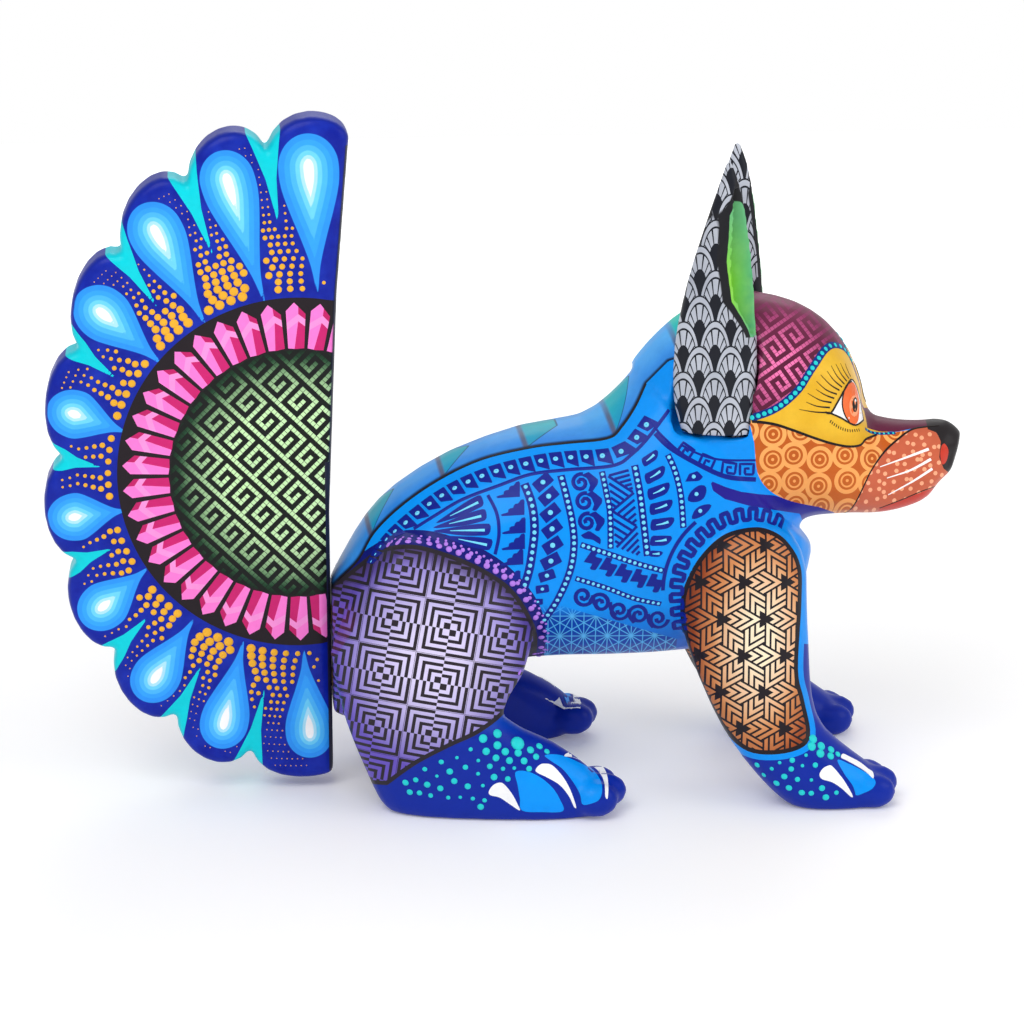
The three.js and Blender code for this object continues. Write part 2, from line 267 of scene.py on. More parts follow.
def largestShell(points, faces):
    label = np.arange(len(points))
    while True:  # spread the lowest label over each connected shell
        lowest = label[faces].min(axis=1)
        fresh = label.copy()
        for i in range(faces.shape[1]):
            np.minimum.at(fresh, faces[:, i], lowest)
        fresh = fresh[fresh]
        if np.array_equal(fresh, label):
            break
        label = fresh
    biggest = np.bincount(label).argmax()
    keep = label == biggest
    number = np.cumsum(keep) - 1
    return points[keep], number[faces[keep[faces[:, 0]]]]


def normalsOf(points, faces):
    a, b, c = points[faces[:, 0]], points[faces[:, 1]], points[faces[:, 2]]
    flat = np.cross(b - a, c - a)
    if faces.shape[1] == 4:
        flat = np.cross(c - a, points[faces[:, 3]] - b)
    total = np.zeros_like(points)
    for i in range(faces.shape[1]):
        np.add.at(total, faces[:, i], flat)
    return total / np.maximum(np.linalg.norm(total, axis=1), 1e-12)[:, None]


rootNodes = ["torso", "head", "leg_front_right", "leg_front_left", "leg_hind_right", "leg_hind_left"]
hiddenDowels = ["neck_dowel", "dowel_front_right", "dowel_front_left", "dowel_hind_right",
                "dowel_hind_left"]
bodyPoints, bodyFaces = carved(rootNodes + hiddenDowels, **carving)
print("body carved:", len(bodyFaces), "faces")


# the drawing board: a side view, turned and tipped a little, that the painting is laid out on
board = dict(azimuth=5.5, elevation=15.5, middle=(shiftX, 0.0, 101.0))
turnA, turnE = math.radians(board["azimuth"]), math.radians(board["elevation"])
boardRight = np.array([math.cos(turnA), -math.sin(turnA), 0])
boardUp = np.array([math.sin(turnA) * math.sin(turnE), math.cos(turnA) * math.sin(turnE), math.cos(turnE)])
boardIn = np.array([math.sin(turnA) * math.cos(turnE), math.cos(turnA) * math.cos(turnE), -math.sin(turnE)])
headMiddle = headTurn["pivot"] + shiftX


def turnHead(points, degrees):
    # millimetre points turned about the upright line through the neck
    angle = math.radians(degrees)
    out = points.copy()
    x = points[:, 0] - headMiddle
    out[:, 0] = headMiddle + x * math.cos(angle) - points[:, 1] * math.sin(angle)
    out[:, 1] = x * math.sin(angle) + points[:, 1] * math.cos(angle)
    return out


def otherSide(points, onHead):
    # mirror millimetre points to the animal's other side; the head is mirrored about its own middle
    if not onHead:
        return points * np.array([1, -1, 1])
    straight = turnHead(points, headTurn["degrees"]) * np.array([1, -1, 1])
    return turnHead(straight, -headTurn["degrees"])


def boardOf(points, onHead):
    # board coordinates of points in millimetres, the far half mirrored to the near one first
    side = turnHead(points, headTurn["degrees"])[:, 1] if onHead else points[:, 1]
    near = np.where((side > 0)[:, None], otherSide(points, onHead), points)
    local = near - np.array(board["middle"])
    return local @ boardRight, local @ boardUp, np.abs(side)


def insideDistance(u, v, outline):
    # distance to a closed outline, above zero inside it
    a = np.array(outline, dtype=float)
    b = np.roll(a, -1, axis=0)
    nearest = np.full(len(u), 1e9)
    inside = np.zeros(len(u), dtype=bool)
    for (ax, ay), (bx, by) in zip(a, b):
        ex, ey = bx - ax, by - ay
        t = np.clip(((u - ax) * ex + (v - ay) * ey) / max(ex * ex + ey * ey, 1e-9), 0, 1)
        nearest = np.minimum(nearest, np.hypot(u - ax - t * ex, v - ay - t * ey))
        crosses = (ay > v) != (by > v)
        with np.errstate(divide="ignore", invalid="ignore"):
            inside ^= crosses & (u < ax + (v - ay) * ex / (by - ay))
    return np.where(inside, nearest, -nearest)


def rounded(points, closed=True, steps=5):
    # a smooth curve through chosen points
    p = np.array(points, dtype=float)
    count = len(p)
    out = []
    for i in range(count if closed else count - 1):
        q = [p[j % count] if closed else p[min(max(j, 0), count - 1)] for j in range(i - 1, i + 3)]
        for s in range(steps):
            t = s / steps
            out.append(0.5 * (2 * q[1] + (q[2] - q[0]) * t + (2 * q[0] - 5 * q[1] + 4 * q[2] - q[3]) * t * t
                              + (3 * q[1] - q[0] - 3 * q[2] + q[3]) * t ** 3))
    if not closed:
        out.append(p[-1])
    return np.array(out)


# lines between the painted fields, from tail to nose
spineLine = [(-70, -32), (-63, -24.7), (-55.3, -17.2), (-49.4, -7.2), (-39.4, 2.5), (-26, 11.7),
             (-10.9, 18.8), (6.6, 23), (19.2, 24.6), (34.3, 26.3), (39.3, 30.5), (44.3, 38), (48, 46)]
ovalLine = [(86.1, -5.4), (76.3, -7.7), (68.9, -13.8), (63.4, -22.1), (60.4, -32.3), (61.5, -43.4),
            (64.3, -53.6), (68.9, -65.7), (76.3, -78.6), (84.7, -86.1), (95.8, -87), (105.1, -84.2),
            (107.4, -78.6), (105.1, -67.5), (102.7, -56.4), (103.7, -32.3), (103.2, -19.3), (98.6, -11),
            (93, -6.8)]
beadLine = [(82, 33.5), (86.7, 33.9), (92.2, 36), (96.9, 39.1), (101.7, 43.8), (104.8, 48.6), (108, 53.3),
            (111.1, 57.5), (114.3, 59.6), (118, 59.4), (120.6, 57.5), (123, 54)]
cheekLine = [(84, 32.2), (92.2, 31.2), (99.1, 29.1), (106.4, 26.5), (113.2, 24.4), (119.6, 23.3),
             (124.3, 23.9), (126.4, 26), (131.1, 27.8)]
muzzleLine = [(153.7, 31.2), (149, 30.7), (143.7, 29.6), (138.5, 26), (133.8, 21.8), (129, 15.5),
              (126.4, 10.2), (123.2, 2.3), (120.6, -1.4)]
jawLine = [(110.6, 1.8), (100.1, 3.9), (92.2, 7.6), (87.5, 13.9), (86, 24.4)]
thighLine = [(-62.7, -24.6), (-54.5, -18.1), (-46.9, -13), (-35.2, -11.5), (-22.6, -14.7), (-10.9, -19.7),
             (-0.9, -26.4), (5.8, -35.6), (9.2, -46), (6.5, -60), (-1.5, -71), (-11.3, -78.5), (-22, -83.5),
             (-34, -90), (-44.7, -98)]
lilacLine = [(-64, -23), (-50, -13.5), (-41.9, -9.2), (-36.9, -7.6), (-26.8, -8.4), (-14.3, -12.6),
             (-4.2, -18.5), (4, -26.4), (9.5, -35.6), (11, -46), (8.2, -60.6), (0, -72), (-10.5, -80.2),
             (-22, -85.5), (-34, -92), (-44.7, -100)]


def curve(points):
    return [tuple(p) for p in rounded(points, closed=False)]


# closed outlines of the painted fields on the board
regions = {
    "spine": curve(spineLine) + [(56, 54), (84, 62), (84, 100), (-95, 100), (-95, -30)],
    "oval": rounded(ovalLine),
    "thigh": curve(thighLine) + [(-80, -98), (-80, -30)],
    "lilac": curve(lilacLine) + [(-84, -100), (-84, -28)],
    "crown": curve(beadLine) + [(130, 54), (130, 100), (80, 100), (80, 33)],
    "mask": curve(beadLine) + [(140, 52), (140, 30)] + curve(cheekLine)[::-1],
    "cheek": curve(cheekLine) + curve(muzzleLine)[10:] + curve(jawLine),
    "muzzle": curve(muzzleLine) + [(130, -14), (175, -14), (175, 31)],
    "muzzleTop": [(127.4, 30.2), (132.2, 28.9), (138.5, 28.9), (144.8, 30.2), (154.3, 31.6), (154, 60),
                  (127, 60)],
    "nose": [(149.6, 29.8), (149, 60), (180, 60), (180, 12), (159, 13.5), (155.3, 15.6), (153.4, 19.6),
             (154, 25.4), (152.6, 28.6)],
    "nostril": rounded([(154.9, 24.8), (156.9, 22.3), (156.4, 18.4), (154.6, 17.2), (153.8, 21.2)]),
    "lip": rounded([(154, 8.9), (148, 7.2), (141, 4.4), (133, 1.2), (136, -1.8), (146, -0.4), (153, 3.6)]),
    "throat": [(70.5, 11.2), (76, 8.9), (81.7, 7.2), (88, 6.4), (93.5, 6), (100, 4.2), (110.6, 1.8),
               (120.6, -1.4), (131, -2), (131, -30), (112, -12), (104, -0.6), (93.5, 0.8), (84.7, 2.2),
               (75.8, 4.6), (71.5, 7.6)],
    "eye": rounded([(113, 34.9), (115.9, 38.9), (118.2, 43), (120.9, 46.2), (123.2, 43.6), (124.8, 38.6),
                    (125.5, 32.3), (122.9, 29.9), (119.6, 30.7), (116.4, 32.9)]),
}


# swellings and hollows of the straight head: middle, radii and height
mounds = [((122, 18, 146), (6, 7, 8), 1.1), ((119, 16, 158), (7, 6, 4), 0.8), ((160, 8, 124), (3.2, 3, 3),
    -1.3), ((129, 0, 140), (5, 13, 6), -2.0), ((158, 0, 111), (6, 14, 8), -2.6)]
# the hips slope away under this line, drawn on the board
hipLine = np.array([(-80, -48), (-67, -30), (-61, -18.4), (-53, -4.8), (-45, 5.2), (-37, 11.6), (-29, 16.3),
                    (-15, 22.8)])
hipSlope = dict(side=9, across=14, front=-8, along=22, soft=1.2)


def eased(share):
    # 0 to 1 with a soft start and a soft end
    share = np.clip(share, 0, 1)
    return share ** 2 * (3 - 2 * share)


def sculpt(points):
    # eyes, brows, nostrils, muzzle and hips, moved in after the smoothing
    drawn = points / mm
    straight = turnHead(drawn, headTurn["degrees"])
    place = np.stack([straight[:, 0] - shiftX, np.abs(straight[:, 1]), straight[:, 2]], axis=1)
    move = sum(height * np.exp(-(((place - middle) / radii) ** 2).sum(axis=1))
               for middle, radii, height in mounds)
    moved = points + normalsOf(points, bodyFaces) * (move * mm)[:, None]
    x, side = drawn[:, 0] - shiftX, np.abs(drawn[:, 1])
    height = (drawn[:, 2] - board["middle"][2]) * math.cos(turnE) + side * math.sin(turnE)
    over = height - np.interp(x, hipLine[:, 0], hipLine[:, 1])
    outward = eased((side - hipSlope["side"]) / hipSlope["across"])
    back = eased((hipSlope["front"] - x) / hipSlope["along"])
    lower = (over + np.hypot(over, hipSlope["soft"])) / 2 * outward * back
    moved[:, 2] -= lower / math.cos(turnE) * mm
    return moved


def splitLabels(points, faces):
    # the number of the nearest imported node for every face
    centres = points[faces].mean(axis=1)
    best = np.full(len(centres), 1e9)
    label = np.zeros(len(centres), dtype=int)
    for number, name in enumerate(rootNodes):
        low, high = (np.array(c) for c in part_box(name))
        reach = 6 * mm
        close = np.where(np.all((centres > low - reach) & (centres < high + reach), axis=1))[0]
        shell = nodeMesh([name])
        tree = BVHTree.FromBMesh(shell)
        shell.free()
        for i in close:
            hit = tree.find_nearest(Vector(centres[i]), reach)
            if hit[3] is not None and hit[3] < best[i]:
                best[i] = hit[3]
                label[i] = number
    return label


def addField(mesh, name, values):
    # one number per vertex, which the paints read by its name
    layer = mesh.attributes.new(name, "FLOAT", "POINT")
    layer.data.foreach_set("value", np.ascontiguousarray(values, dtype=np.float32))


def paintFields(mesh, points, onHead, names):
    u, v, side = boardOf(points / mm, onHead)
    addField(mesh, "u", u)
    addField(mesh, "v", v)
    addField(mesh, "side", side)
    for name in names:
        addField(mesh, name, insideDistance(u, v, regions[name]))


def heart(name):
    # a point inside a node, where the hidden joint faces of its neighbours meet
    low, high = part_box(name)
    return (np.array(low) + np.array(high)) / 2


jointHearts = {frozenset(("torso", "head")): "neck_dowel"}
for leg in ("front_right", "front_left", "hind_right", "hind_left"):
    jointHearts[frozenset(("torso", "leg_" + leg))] = "dowel_" + leg


def splitBody(points, faces, label):
    # one closed piece per node, capped towards the heart of the joint
    pieces = {}
    owner = {}
    for face, number in zip(faces, label):
        for i in range(4):
            owner[(face[i], face[(i + 1) % 4])] = number
    for number, name in enumerate(rootNodes):
        mine = faces[label == number]
        used = np.unique(mine)
        where = np.full(len(points), -1)
        where[used] = np.arange(len(used))
        vertices = [points[used]]
        extra = {}
        caps = []
        for face in mine:
            for i in range(4):
                a, b = face[i], face[(i + 1) % 4]
                other = owner[(b, a)]
                if other != number:
                    pair = frozenset((name, rootNodes[other]))
                    if other not in extra:
                        extra[other] = len(used) + len(extra)
                        vertices.append(heart(jointHearts.get(pair, name))[None])
                    caps.append((where[b], where[a], extra[other]))
        allPoints = np.concatenate(vertices)
        made = objectFrom(name + "_carved", allPoints, [tuple(f) for f in where[mine]] + caps)
        mesh = made.data
        mesh.polygons.foreach_set("use_smooth", np.array([True] * len(mine) + [False] * len(caps)))
        sharp = {tuple(sorted(c[:2])) for c in caps}
        flags = [tuple(sorted(e.vertices)) in sharp for e in mesh.edges]
        layer = mesh.attributes.new("sharp_edge", "BOOLEAN", "EDGE")
        layer.data.foreach_set("value", flags)
        pieces[name] = (made, allPoints)
    return pieces


bodyPoints = sculpt(bodyPoints)
bodyLabel = splitLabels(bodyPoints, bodyFaces)
bodyPieces = splitBody(bodyPoints, bodyFaces, bodyLabel)
bodyTree = BVHTree.FromPolygons([tuple(p) for p in bodyPoints],
                                [tuple(int(i) for i in f) for f in bodyFaces])
headFields = ["spine", "crown", "mask", "cheek", "muzzle", "muzzleTop", "nose", "nostril", "lip", "throat",
              "eye"]
for name, (made, points) in bodyPieces.items():
    wanted = headFields if name == "head" else ["spine", "oval", "thigh", "lilac"]
    if name == "torso":
        wanted = wanted + ["throat", "cheek"]
    paintFields(made.data, points, name == "head", wanted)
print("body split into", len(bodyPieces), "pieces")

# ears and tail
otherCarving = dict(ear_right=(0.6, 6), ear_left=(0.6, 6), tail_fan=(1.0, 5))
otherPieces = {}
for name, (voxel, smoothing) in otherCarving.items():
    points, faces = carved([name], voxel * mm, 0.0, smoothing)
    made = objectFrom(name + "_carved", points, faces)
    made.data.polygons.foreach_set("use_smooth", np.ones(len(faces), dtype=bool))
    paintFields(made.data, points, False, [])
    otherPieces[name] = (made, points)
print("ears and tail carved")


# colours of the paints and the sizes of their patterns
azure = srgb(0, 146, 244)
azureDeep = srgb(0, 92, 205)
royal = srgb(10, 42, 158)
ink = srgb(34, 28, 34)
cream = srgb(252, 232, 200)
rust = srgb(168, 78, 38)
lavender = srgb(218, 208, 244)
purple = srgb(104, 84, 186)
orangeLight = srgb(252, 176, 98)
orangeDeep = srgb(192, 90, 26)
terracotta = srgb(200, 98, 68)
peach = srgb(250, 172, 132)
violet = srgb(34, 26, 142)
borderBlue = srgb(14, 22, 116)
gemBlack = srgb(34, 26, 32)

spinePattern = dict(period=33.4, offset=53.6, lean=0.35, lens=0.42)
bellyStars = dict(spacing=(4.3, 7.45), line=0.24, edge=0.10, rear=6, front=60, top=33.3, slope=0.30)
chevronPattern = dict(size=8.8, shift=(1.5, 3), stripes=3.9, gap=0.36)
squarePattern = dict(size=20.6, shift=(42.2, 37.9), tilt=10, flatten=0.94, rings=8.0)
crownTiles = dict(square=1.42, cosine=0.82, sine=0.57, shift=(40, 80))
discTiles = dict(square=1.62, diagonal=0.7071, shift=40)
scalePattern = dict(row=8.8, width=11.0, half=5.7, tall=14.6, rays=4.2)
gemRing = dict(inner=45.4, outer=64.4, middle=54.4, step=8.55)


def ellipseReach(u, v, middle, radii):
    # 0 in the middle of an ellipse and 1 on its rim
    across, up = (u - middle[0]) / radii[0], (v - middle[1]) / radii[1]
    return (across * across + up * up).sqrt()


def spinePaint(shader, u, v):
    # blue segments with teal lenses and dark bars along the back; the blue is mottled and lighter towards the
    # ridge of the back, a painted highlight
    line = shader.field("spine")
    # painted highlight: the blue grows lighter towards the ridge of the back, over random mottle
    glow = (shader.noise(70, 3.0) * 0.5 + line.ramp(1, 9) * 0.6).clamp()
    colour = shader.mix(glow, srgb(14, 112, 214), srgb(92, 182, 246))
    along = ((u + v * spinePattern["lean"] + spinePattern["offset"]) / spinePattern["period"]).fract()
    arch = line.ramp(0.3, 7) * spinePattern["lens"] - along
    lens = arch.ramp(-0.01, 0.01) * along.ramp(0.0, 0.05)
    teal = shader.mix(line.ramp(2, 16), srgb(20, 150, 190), srgb(40, 205, 175))
    colour = shader.mix(lens * 0.9, colour, teal)
    crease = arch.abs().ramp(0.016, 0.006) * line.ramp(0.4, 1)
    colour = shader.mix(crease * 0.8, colour, srgb(30, 70, 100))
    bar = along.min(1 - along).ramp(0.045, 0.015) * line.ramp(16, 6)
    colour = shader.mix(bar * 0.75, colour, srgb(92, 76, 66))
    return shader.mix(line.ramp(1.3, 0.5), colour, srgb(22, 34, 60))


def torsoPaint(shader):
    u, v = shader.field("u"), shader.field("v")
    ground = shader.mix(v.ramp(-34, -50), azure, azureDeep)
    star = None
    for number, angle in enumerate((0, 60, 120, 30, 90, 150)):
        c, s = math.cos(math.radians(angle)), math.sin(math.radians(angle))
        spacing = bellyStars["spacing"][number // 3]
        line = ((u * c + v * s) / spacing).fract()
        off, full = 0.5 - bellyStars["line"] / spacing, 0.5 - bellyStars["edge"] / spacing
        near = (line - 0.5).abs().ramp(off, full)
        star = near if star is None else star.max(near)
    lattice = shader.mix(star * 0.8, srgb(0, 66, 172), srgb(96, 200, 252))
    low = (v + bellyStars["top"] + (u - 17).max(0) * bellyStars["slope"]) < 0
    belly = v.ramp(-33, -38) * low * (u > bellyStars["rear"]) * (u < bellyStars["front"])
    ground = shader.mix(belly, ground, lattice)
    ground = shader.mix((shader.field("lilac") > -1.2) * (v > -56), ground, borderBlue)
    ground = shader.mix(shader.field("thigh") > 0, ground, thighPaint(shader, u, v))
    ground = shader.mix(shader.field("throat") > 0, ground, violet)
    return shader.mix(shader.field("spine") > 0, ground, spinePaint(shader, u, v))


def chevrons(u, v):
    # blocks of nested chevrons in three directions on a honeycomb
    size, third = chevronPattern["size"], 2 * math.pi / 3
    width, height = size * math.sqrt(3), size * 3.0

    def cell(shiftU, shiftV):
        x = ((u + shiftU) / width).fract() * width - width / 2
        y = ((v + shiftV) / height).fract() * height - height / 2
        return x, y

    ax, ay = cell(0, 0)
    bx, by = cell(width / 2, height / 2)
    nearA = (ax * ax + ay * ay) < (bx * bx + by * by)
    x = bx + (ax - bx) * nearA
    y = by + (ay - by) * nearA
    sector = ((y.angle(x) - math.pi / 6) / third).floor()
    angle = sector * third + math.pi / 6
    along = x * angle.cos() + y * angle.sin()
    beside = y * angle.cos() - x * angle.sin()
    reach = (beside / math.sin(third)).min(size - (along + beside * 0.577)) / size
    stripes = ((reach * chevronPattern["stripes"] + 0.02).fract() - 0.02) > chevronPattern["gap"]
    return stripes * (reach > 0.03) * (reach < 0.76)


def squares(u, v):
    # concentric squares, every other quarter a step out of phase
    tilt, size = math.radians(squarePattern["tilt"]), squarePattern["size"]
    x = (u * math.cos(tilt) - v * math.sin(tilt)) / size + 0.5
    y = (u * math.sin(tilt) + v * math.cos(tilt)) / (size * squarePattern["flatten"]) + 0.5
    p = x.fract() - 0.5
    q = y.fract() - 0.5
    far = p.abs().max(q.abs())
    offset = (p * q) > 0
    return ((far - 0.055).max(0) * squarePattern["rings"] + offset * 0.5).fract() > 0.47


def frontLegPaint(shader):
    u, v = shader.field("u"), shader.field("v")
    oval = shader.field("oval")
    reach = ellipseReach(u, v, (88, -46), (22, 44))
    light = shader.mix(reach.ramp(0.2, 0.75), cream, srgb(222, 152, 96))
    light = shader.mix(reach.ramp(0.65, 1.05), light, rust)
    light = shader.mix(reach.ramp(0.95, 1.3), light, srgb(110, 52, 30))
    shiftU, shiftV = chevronPattern["shift"]
    woven = shader.mix(chevrons(u + shiftU, v + shiftV) * (oval > 1.6), ink, light)
    around = shader.mix((oval < -2.1) * ((u - 84).abs() * 0.16 + v < -44), azure, royal)
    return shader.mix(oval > 0, around, woven)


def thighPaint(shader, u, v):
    thigh = shader.field("thigh")
    light = shader.mix(ellipseReach(u, v, (-28, -52), (34, 40)).ramp(0.30, 1.0), lavender, purple)
    light = shader.mix(thigh.ramp(8, 1.5) * v.ramp(-58, -26) * 0.85, light, srgb(58, 46, 72))
    shiftU, shiftV = squarePattern["shift"]
    return shader.mix(squares(u + shiftU, v + shiftV) * (thigh > 1.6), srgb(44, 38, 46), light)


def hindLegPaint(shader):
    u, v = shader.field("u"), shader.field("v")
    back = shader.mix(shader.field("spine") > 0, azure, spinePaint(shader, u, v))
    foot = shader.mix(v.ramp(-80, -66), royal, srgb(10, 96, 214))
    colour = shader.mix(v > -56, foot, back)
    colour = shader.mix((shader.field("lilac") > -1.2) * (v > -56), colour, borderBlue)
    return shader.mix(shader.field("thigh") > 0, colour, thighPaint(shader, u, v))


def headPaint(shader):
    u, v = shader.field("u"), shader.field("v")
    side = shader.field("side")
    colour = shader.mix(shader.field("spine") > 0, azure, spinePaint(shader, u, v))
    throat = shader.mix(v.ramp(2, -4), violet, srgb(76, 76, 152))
    colour = shader.mix(shader.field("throat") > 0, colour, throat)
    pad = shader.node("ShaderNodeCombineXYZ", None, [u, v, 0.0])
    ring = shader.node("ShaderNodeTexVoronoi", dict(voronoi_dimensions="2D"),
                       {"Vector": pad, "Scale": 0.11, "Randomness": 0.3}, "Distance")
    rings = ((ring > 0.06) * (ring < 0.20)).max((ring > 0.27) * (ring < 0.36)).max(ring > 0.52)
    cheek = shader.mix(rings, orangeLight, orangeDeep)
    cheek = shader.mix(v.ramp(30, 4) * 0.25, cheek, srgb(225, 120, 50))
    colour = shader.mix(shader.field("cheek") > 0, colour, cheek)
    speck = shader.node("ShaderNodeTexVoronoi", dict(voronoi_dimensions="2D"),
                        {"Vector": pad, "Scale": 0.30, "Randomness": 0.7}, "Distance")
    muzzle = shader.mix(speck < 0.23, terracotta, peach)
    colour = shader.mix(shader.field("muzzle") > 0, colour, muzzle)
    colour = shader.mix(shader.field("lip") > 0, colour, srgb(200, 58, 44))
    mask = shader.mix(shader.noise(90, 2.0), srgb(226, 168, 30), srgb(242, 196, 60))
    mask = shader.mix(v.ramp(30, 24) * 0.5, mask, srgb(205, 150, 20))
    colour = shader.mix(shader.field("mask") > 0, colour, mask)
    square, cosine, sine = crownTiles["square"], crownTiles["cosine"], crownTiles["sine"]
    tiles = fret((u * cosine + v * sine) / square + crownTiles["shift"][0],
                 (v * cosine - u * sine) / square + crownTiles["shift"][1])
    reach = ellipseReach(u, v, (96, 52), (16, 18))
    tileTone = shader.mix(reach.ramp(0.2, 1.2), srgb(246, 120, 178), srgb(132, 36, 88))
    crown = shader.mix(v.ramp(55, 78), srgb(92, 30, 58), srgb(122, 46, 80))
    crown = shader.mix(tiles, crown, tileTone)
    blaze = (side < 2.2) * (v > 29) * (v < 60) * (u > 100)
    colour = shader.mix((shader.field("crown") > 0).max(blaze), colour, crown)
    colour = shader.mix(shader.field("muzzleTop") > 0, colour, srgb(96, 30, 60))
    colour = shader.mix(shader.field("nose") > 0, colour, srgb(40, 36, 38))
    return shader.mix(shader.field("nostril") > 0, colour, srgb(204, 62, 46))


def earPaint(shader):
    u, v = shader.field("u"), shader.field("v")
    height, width = scalePattern["row"], scalePattern["width"]

    def fan(lower):
        # fan-shaped scales in one row; each row overlaps the next
        row = (v / height).floor() - lower
        shift = row.mod(2.0) * (width / 2)
        x = ((u + shift) / width).fract() * width - width / 2
        y = v - row * height
        reach = ellipseReach(x, y, (0, 0), (scalePattern["half"], scalePattern["tall"]))
        strokes = ((x.angle(y) * scalePattern["rays"]).fract() - 0.5).abs() > 0.11
        arches = ((reach > 0.83) * (reach < 0.96)).max((reach < 0.78) * (reach > 0.42) * strokes)
        return reach, arches

    nearReach, nearArch = fan(1.0)
    farArch = fan(0.0)[1]
    light = farArch + (nearArch - farArch) * (nearReach < 1.0)
    silver = shader.mix(shader.noise(60, 2.0), srgb(150, 155, 168), srgb(206, 210, 220))
    outside = shader.mix(light, srgb(30, 32, 40), silver)
    hollow = shader.field("hollow")
    outside = shader.mix(hollow.ramp(2.4, 2.2), outside, srgb(34, 34, 38))
    green = shader.mix(shader.field("depth").ramp(-3.0, 4.0), srgb(132, 214, 60), srgb(88, 176, 122))
    green = shader.mix(shader.noise(150, 2.0).ramp(0.4, 0.7) * 0.3, green, srgb(160, 220, 110))
    green = shader.mix(v.ramp(82, 104) * 0.8, green, srgb(96, 176, 130))
    return shader.mix(hollow.ramp(1.05, 0.95), outside, green)


def fret(a, b):
    # square spirals hanging from long lines, six squares wide and eight apart
    row = (b / 8).floor()
    a = (a + row * 2).mod(6)
    b = b.mod(8)
    lines = b < 1
    for left, right, top, bottom in ((0, 1, 0, 7), (0, 5, 6, 7), (4, 5, 2, 7), (2, 5, 2, 3), (2, 3, 2, 5)):
        lines = lines.max((a > left) * (a < right) * (b > top) * (b < bottom))
    return lines * (a.fract() > 0.10) * (b.fract() > 0.10)


def tailPaint(shader):
    u, v = shader.field("tu"), shader.field("tv")
    reach = (u * u + v * v).sqrt()
    drop = shader.field("drop")
    petal = shader.mix(shader.noise(130, 3.0).ramp(0.35, 0.75), srgb(8, 28, 150), srgb(20, 48, 176))
    bands = ((0.0, srgb(44, 150, 250)), (0.2, srgb(52, 164, 255)), (0.38, srgb(76, 186, 255)),
             (0.56, srgb(110, 212, 255)), (0.71, srgb(176, 232, 255)), (0.83, srgb(255, 255, 255)))
    for depth, tone in bands:
        petal = shader.mix(drop.ramp(depth - 0.012, depth + 0.012), petal, tone)
    petal = shader.mix(shader.field("wedge") > 0, petal, srgb(0, 210, 222))
    # faceted gems: x runs round the ring from the middle of each one, y outwards
    step = math.radians(gemRing["step"])
    x = ((v.angle(u).mod(2 * math.pi) / step).fract() - 0.5) * reach * step
    y = reach - gemRing["middle"]
    crystal = (x.abs() < 3.25 + y * 0.05) * (y > -8.6 + x.abs() * 0.12) * (y < 8.2 - (x - 0.6).abs())
    shade = shader.mix(x > -0.9 - (y - 2) * 0.14, srgb(205, 34, 112), srgb(255, 126, 212))
    facet = (x + 0.9).abs() * 0.75
    glint = (y < 4.0 - facet) * (y > 1.4 - facet)
    shade = shader.mix(glint, shade, srgb(252, 150, 218))
    dark = (y > 1.0 - facet) * (x < -0.9) * (1 - glint) * (y > 3.0)
    shade = shader.mix(dark, shade, srgb(196, 30, 104))
    gem = shader.mix(crystal, gemBlack, shade)
    colour = shader.mix(reach < gemRing["outer"], petal, gem)
    scale = discTiles["diagonal"] / discTiles["square"]
    a, b = (u + v) * scale + discTiles["shift"], (v - u) * scale + discTiles["shift"]
    lit = shader.mix(reach.ramp(26, 43), srgb(202, 240, 182), srgb(46, 104, 66))
    lit = shader.mix(reach.ramp(38, 45), lit, srgb(20, 40, 28))
    disc = shader.mix(fret(b, a), srgb(22, 26, 24), lit)
    colour = shader.mix(reach < gemRing["inner"], colour, disc)
    edgeTone = shader.mix(shader.noise(80, 2.0), srgb(26, 26, 36), srgb(46, 48, 70))
    colour = shader.mix((v < 4) * (u > 9.6), colour, edgeTone)
    around = shader.mix(shader.field("wedge") > 0, srgb(12, 36, 150), srgb(0, 200, 214))
    around = shader.mix((u > 10) * (v < 118), around, edgeTone)
    return shader.mix(shader.field("flat").ramp(0.80, 0.60), colour, around)


paints = {}
for name, recipe in (("torso", torsoPaint), ("head", headPaint), ("ear", earPaint), ("tail", tailPaint),
                     ("frontLeg", frontLegPaint), ("hindLeg", hindLegPaint)):
    shader = Shader(name + "Paint")
    paints[name] = shader.finish(recipe(shader))
bareWood = Shader("bareWood")
grain = bareWood.noise(300, 4.0, 0.6)
bareWood.finish(bareWood.mix(grain, srgb(176, 132, 84), srgb(226, 190, 140)), roughness=0.6, coat=0.0)
print("paints mixed")


# ear fields: distance from the hollow that opens forwards, and how far forwards a point lies
# each row: height, rear x and y, front x and y, half the width
hollowLine = np.array([(172, 82, -26, 100, -27, 2.5),
                       (184, 77, -26, 100, -28, 4.4),
                       (198, 76, -25, 98, -27, 4.2),
                       (212, 77.5, -23.8, 93, -25.5, 2.8),
                       (223, 79, -23, 88, -24, 1.2)])
for name in ("ear_right", "ear_left"):
    made, points = otherPieces[name]
    straight = turnHead(points / mm, headTurn["degrees"])
    x, y, z = straight[:, 0] - shiftX, -np.abs(straight[:, 1]), straight[:, 2]
    backX, backY, frontX, frontY, half = (np.interp(z, hollowLine[:, 0], column)
                                          for column in hollowLine[:, 1:].T)
    share = (x - (backX + frontX) / 2) / ((frontX - backX) / 2)
    beside = (y - (backY + frontY) / 2 - share * (frontY - backY) / 2) / half
    hollow = (np.hypot(share, beside) - 1) * half
    hollow += np.clip(z - 214, 0, 20) * 0.24
    addField(made.data, "hollow", np.where((z > 171.2) & (z < 228), hollow, 9.0))
    addField(made.data, "depth", x - 84)

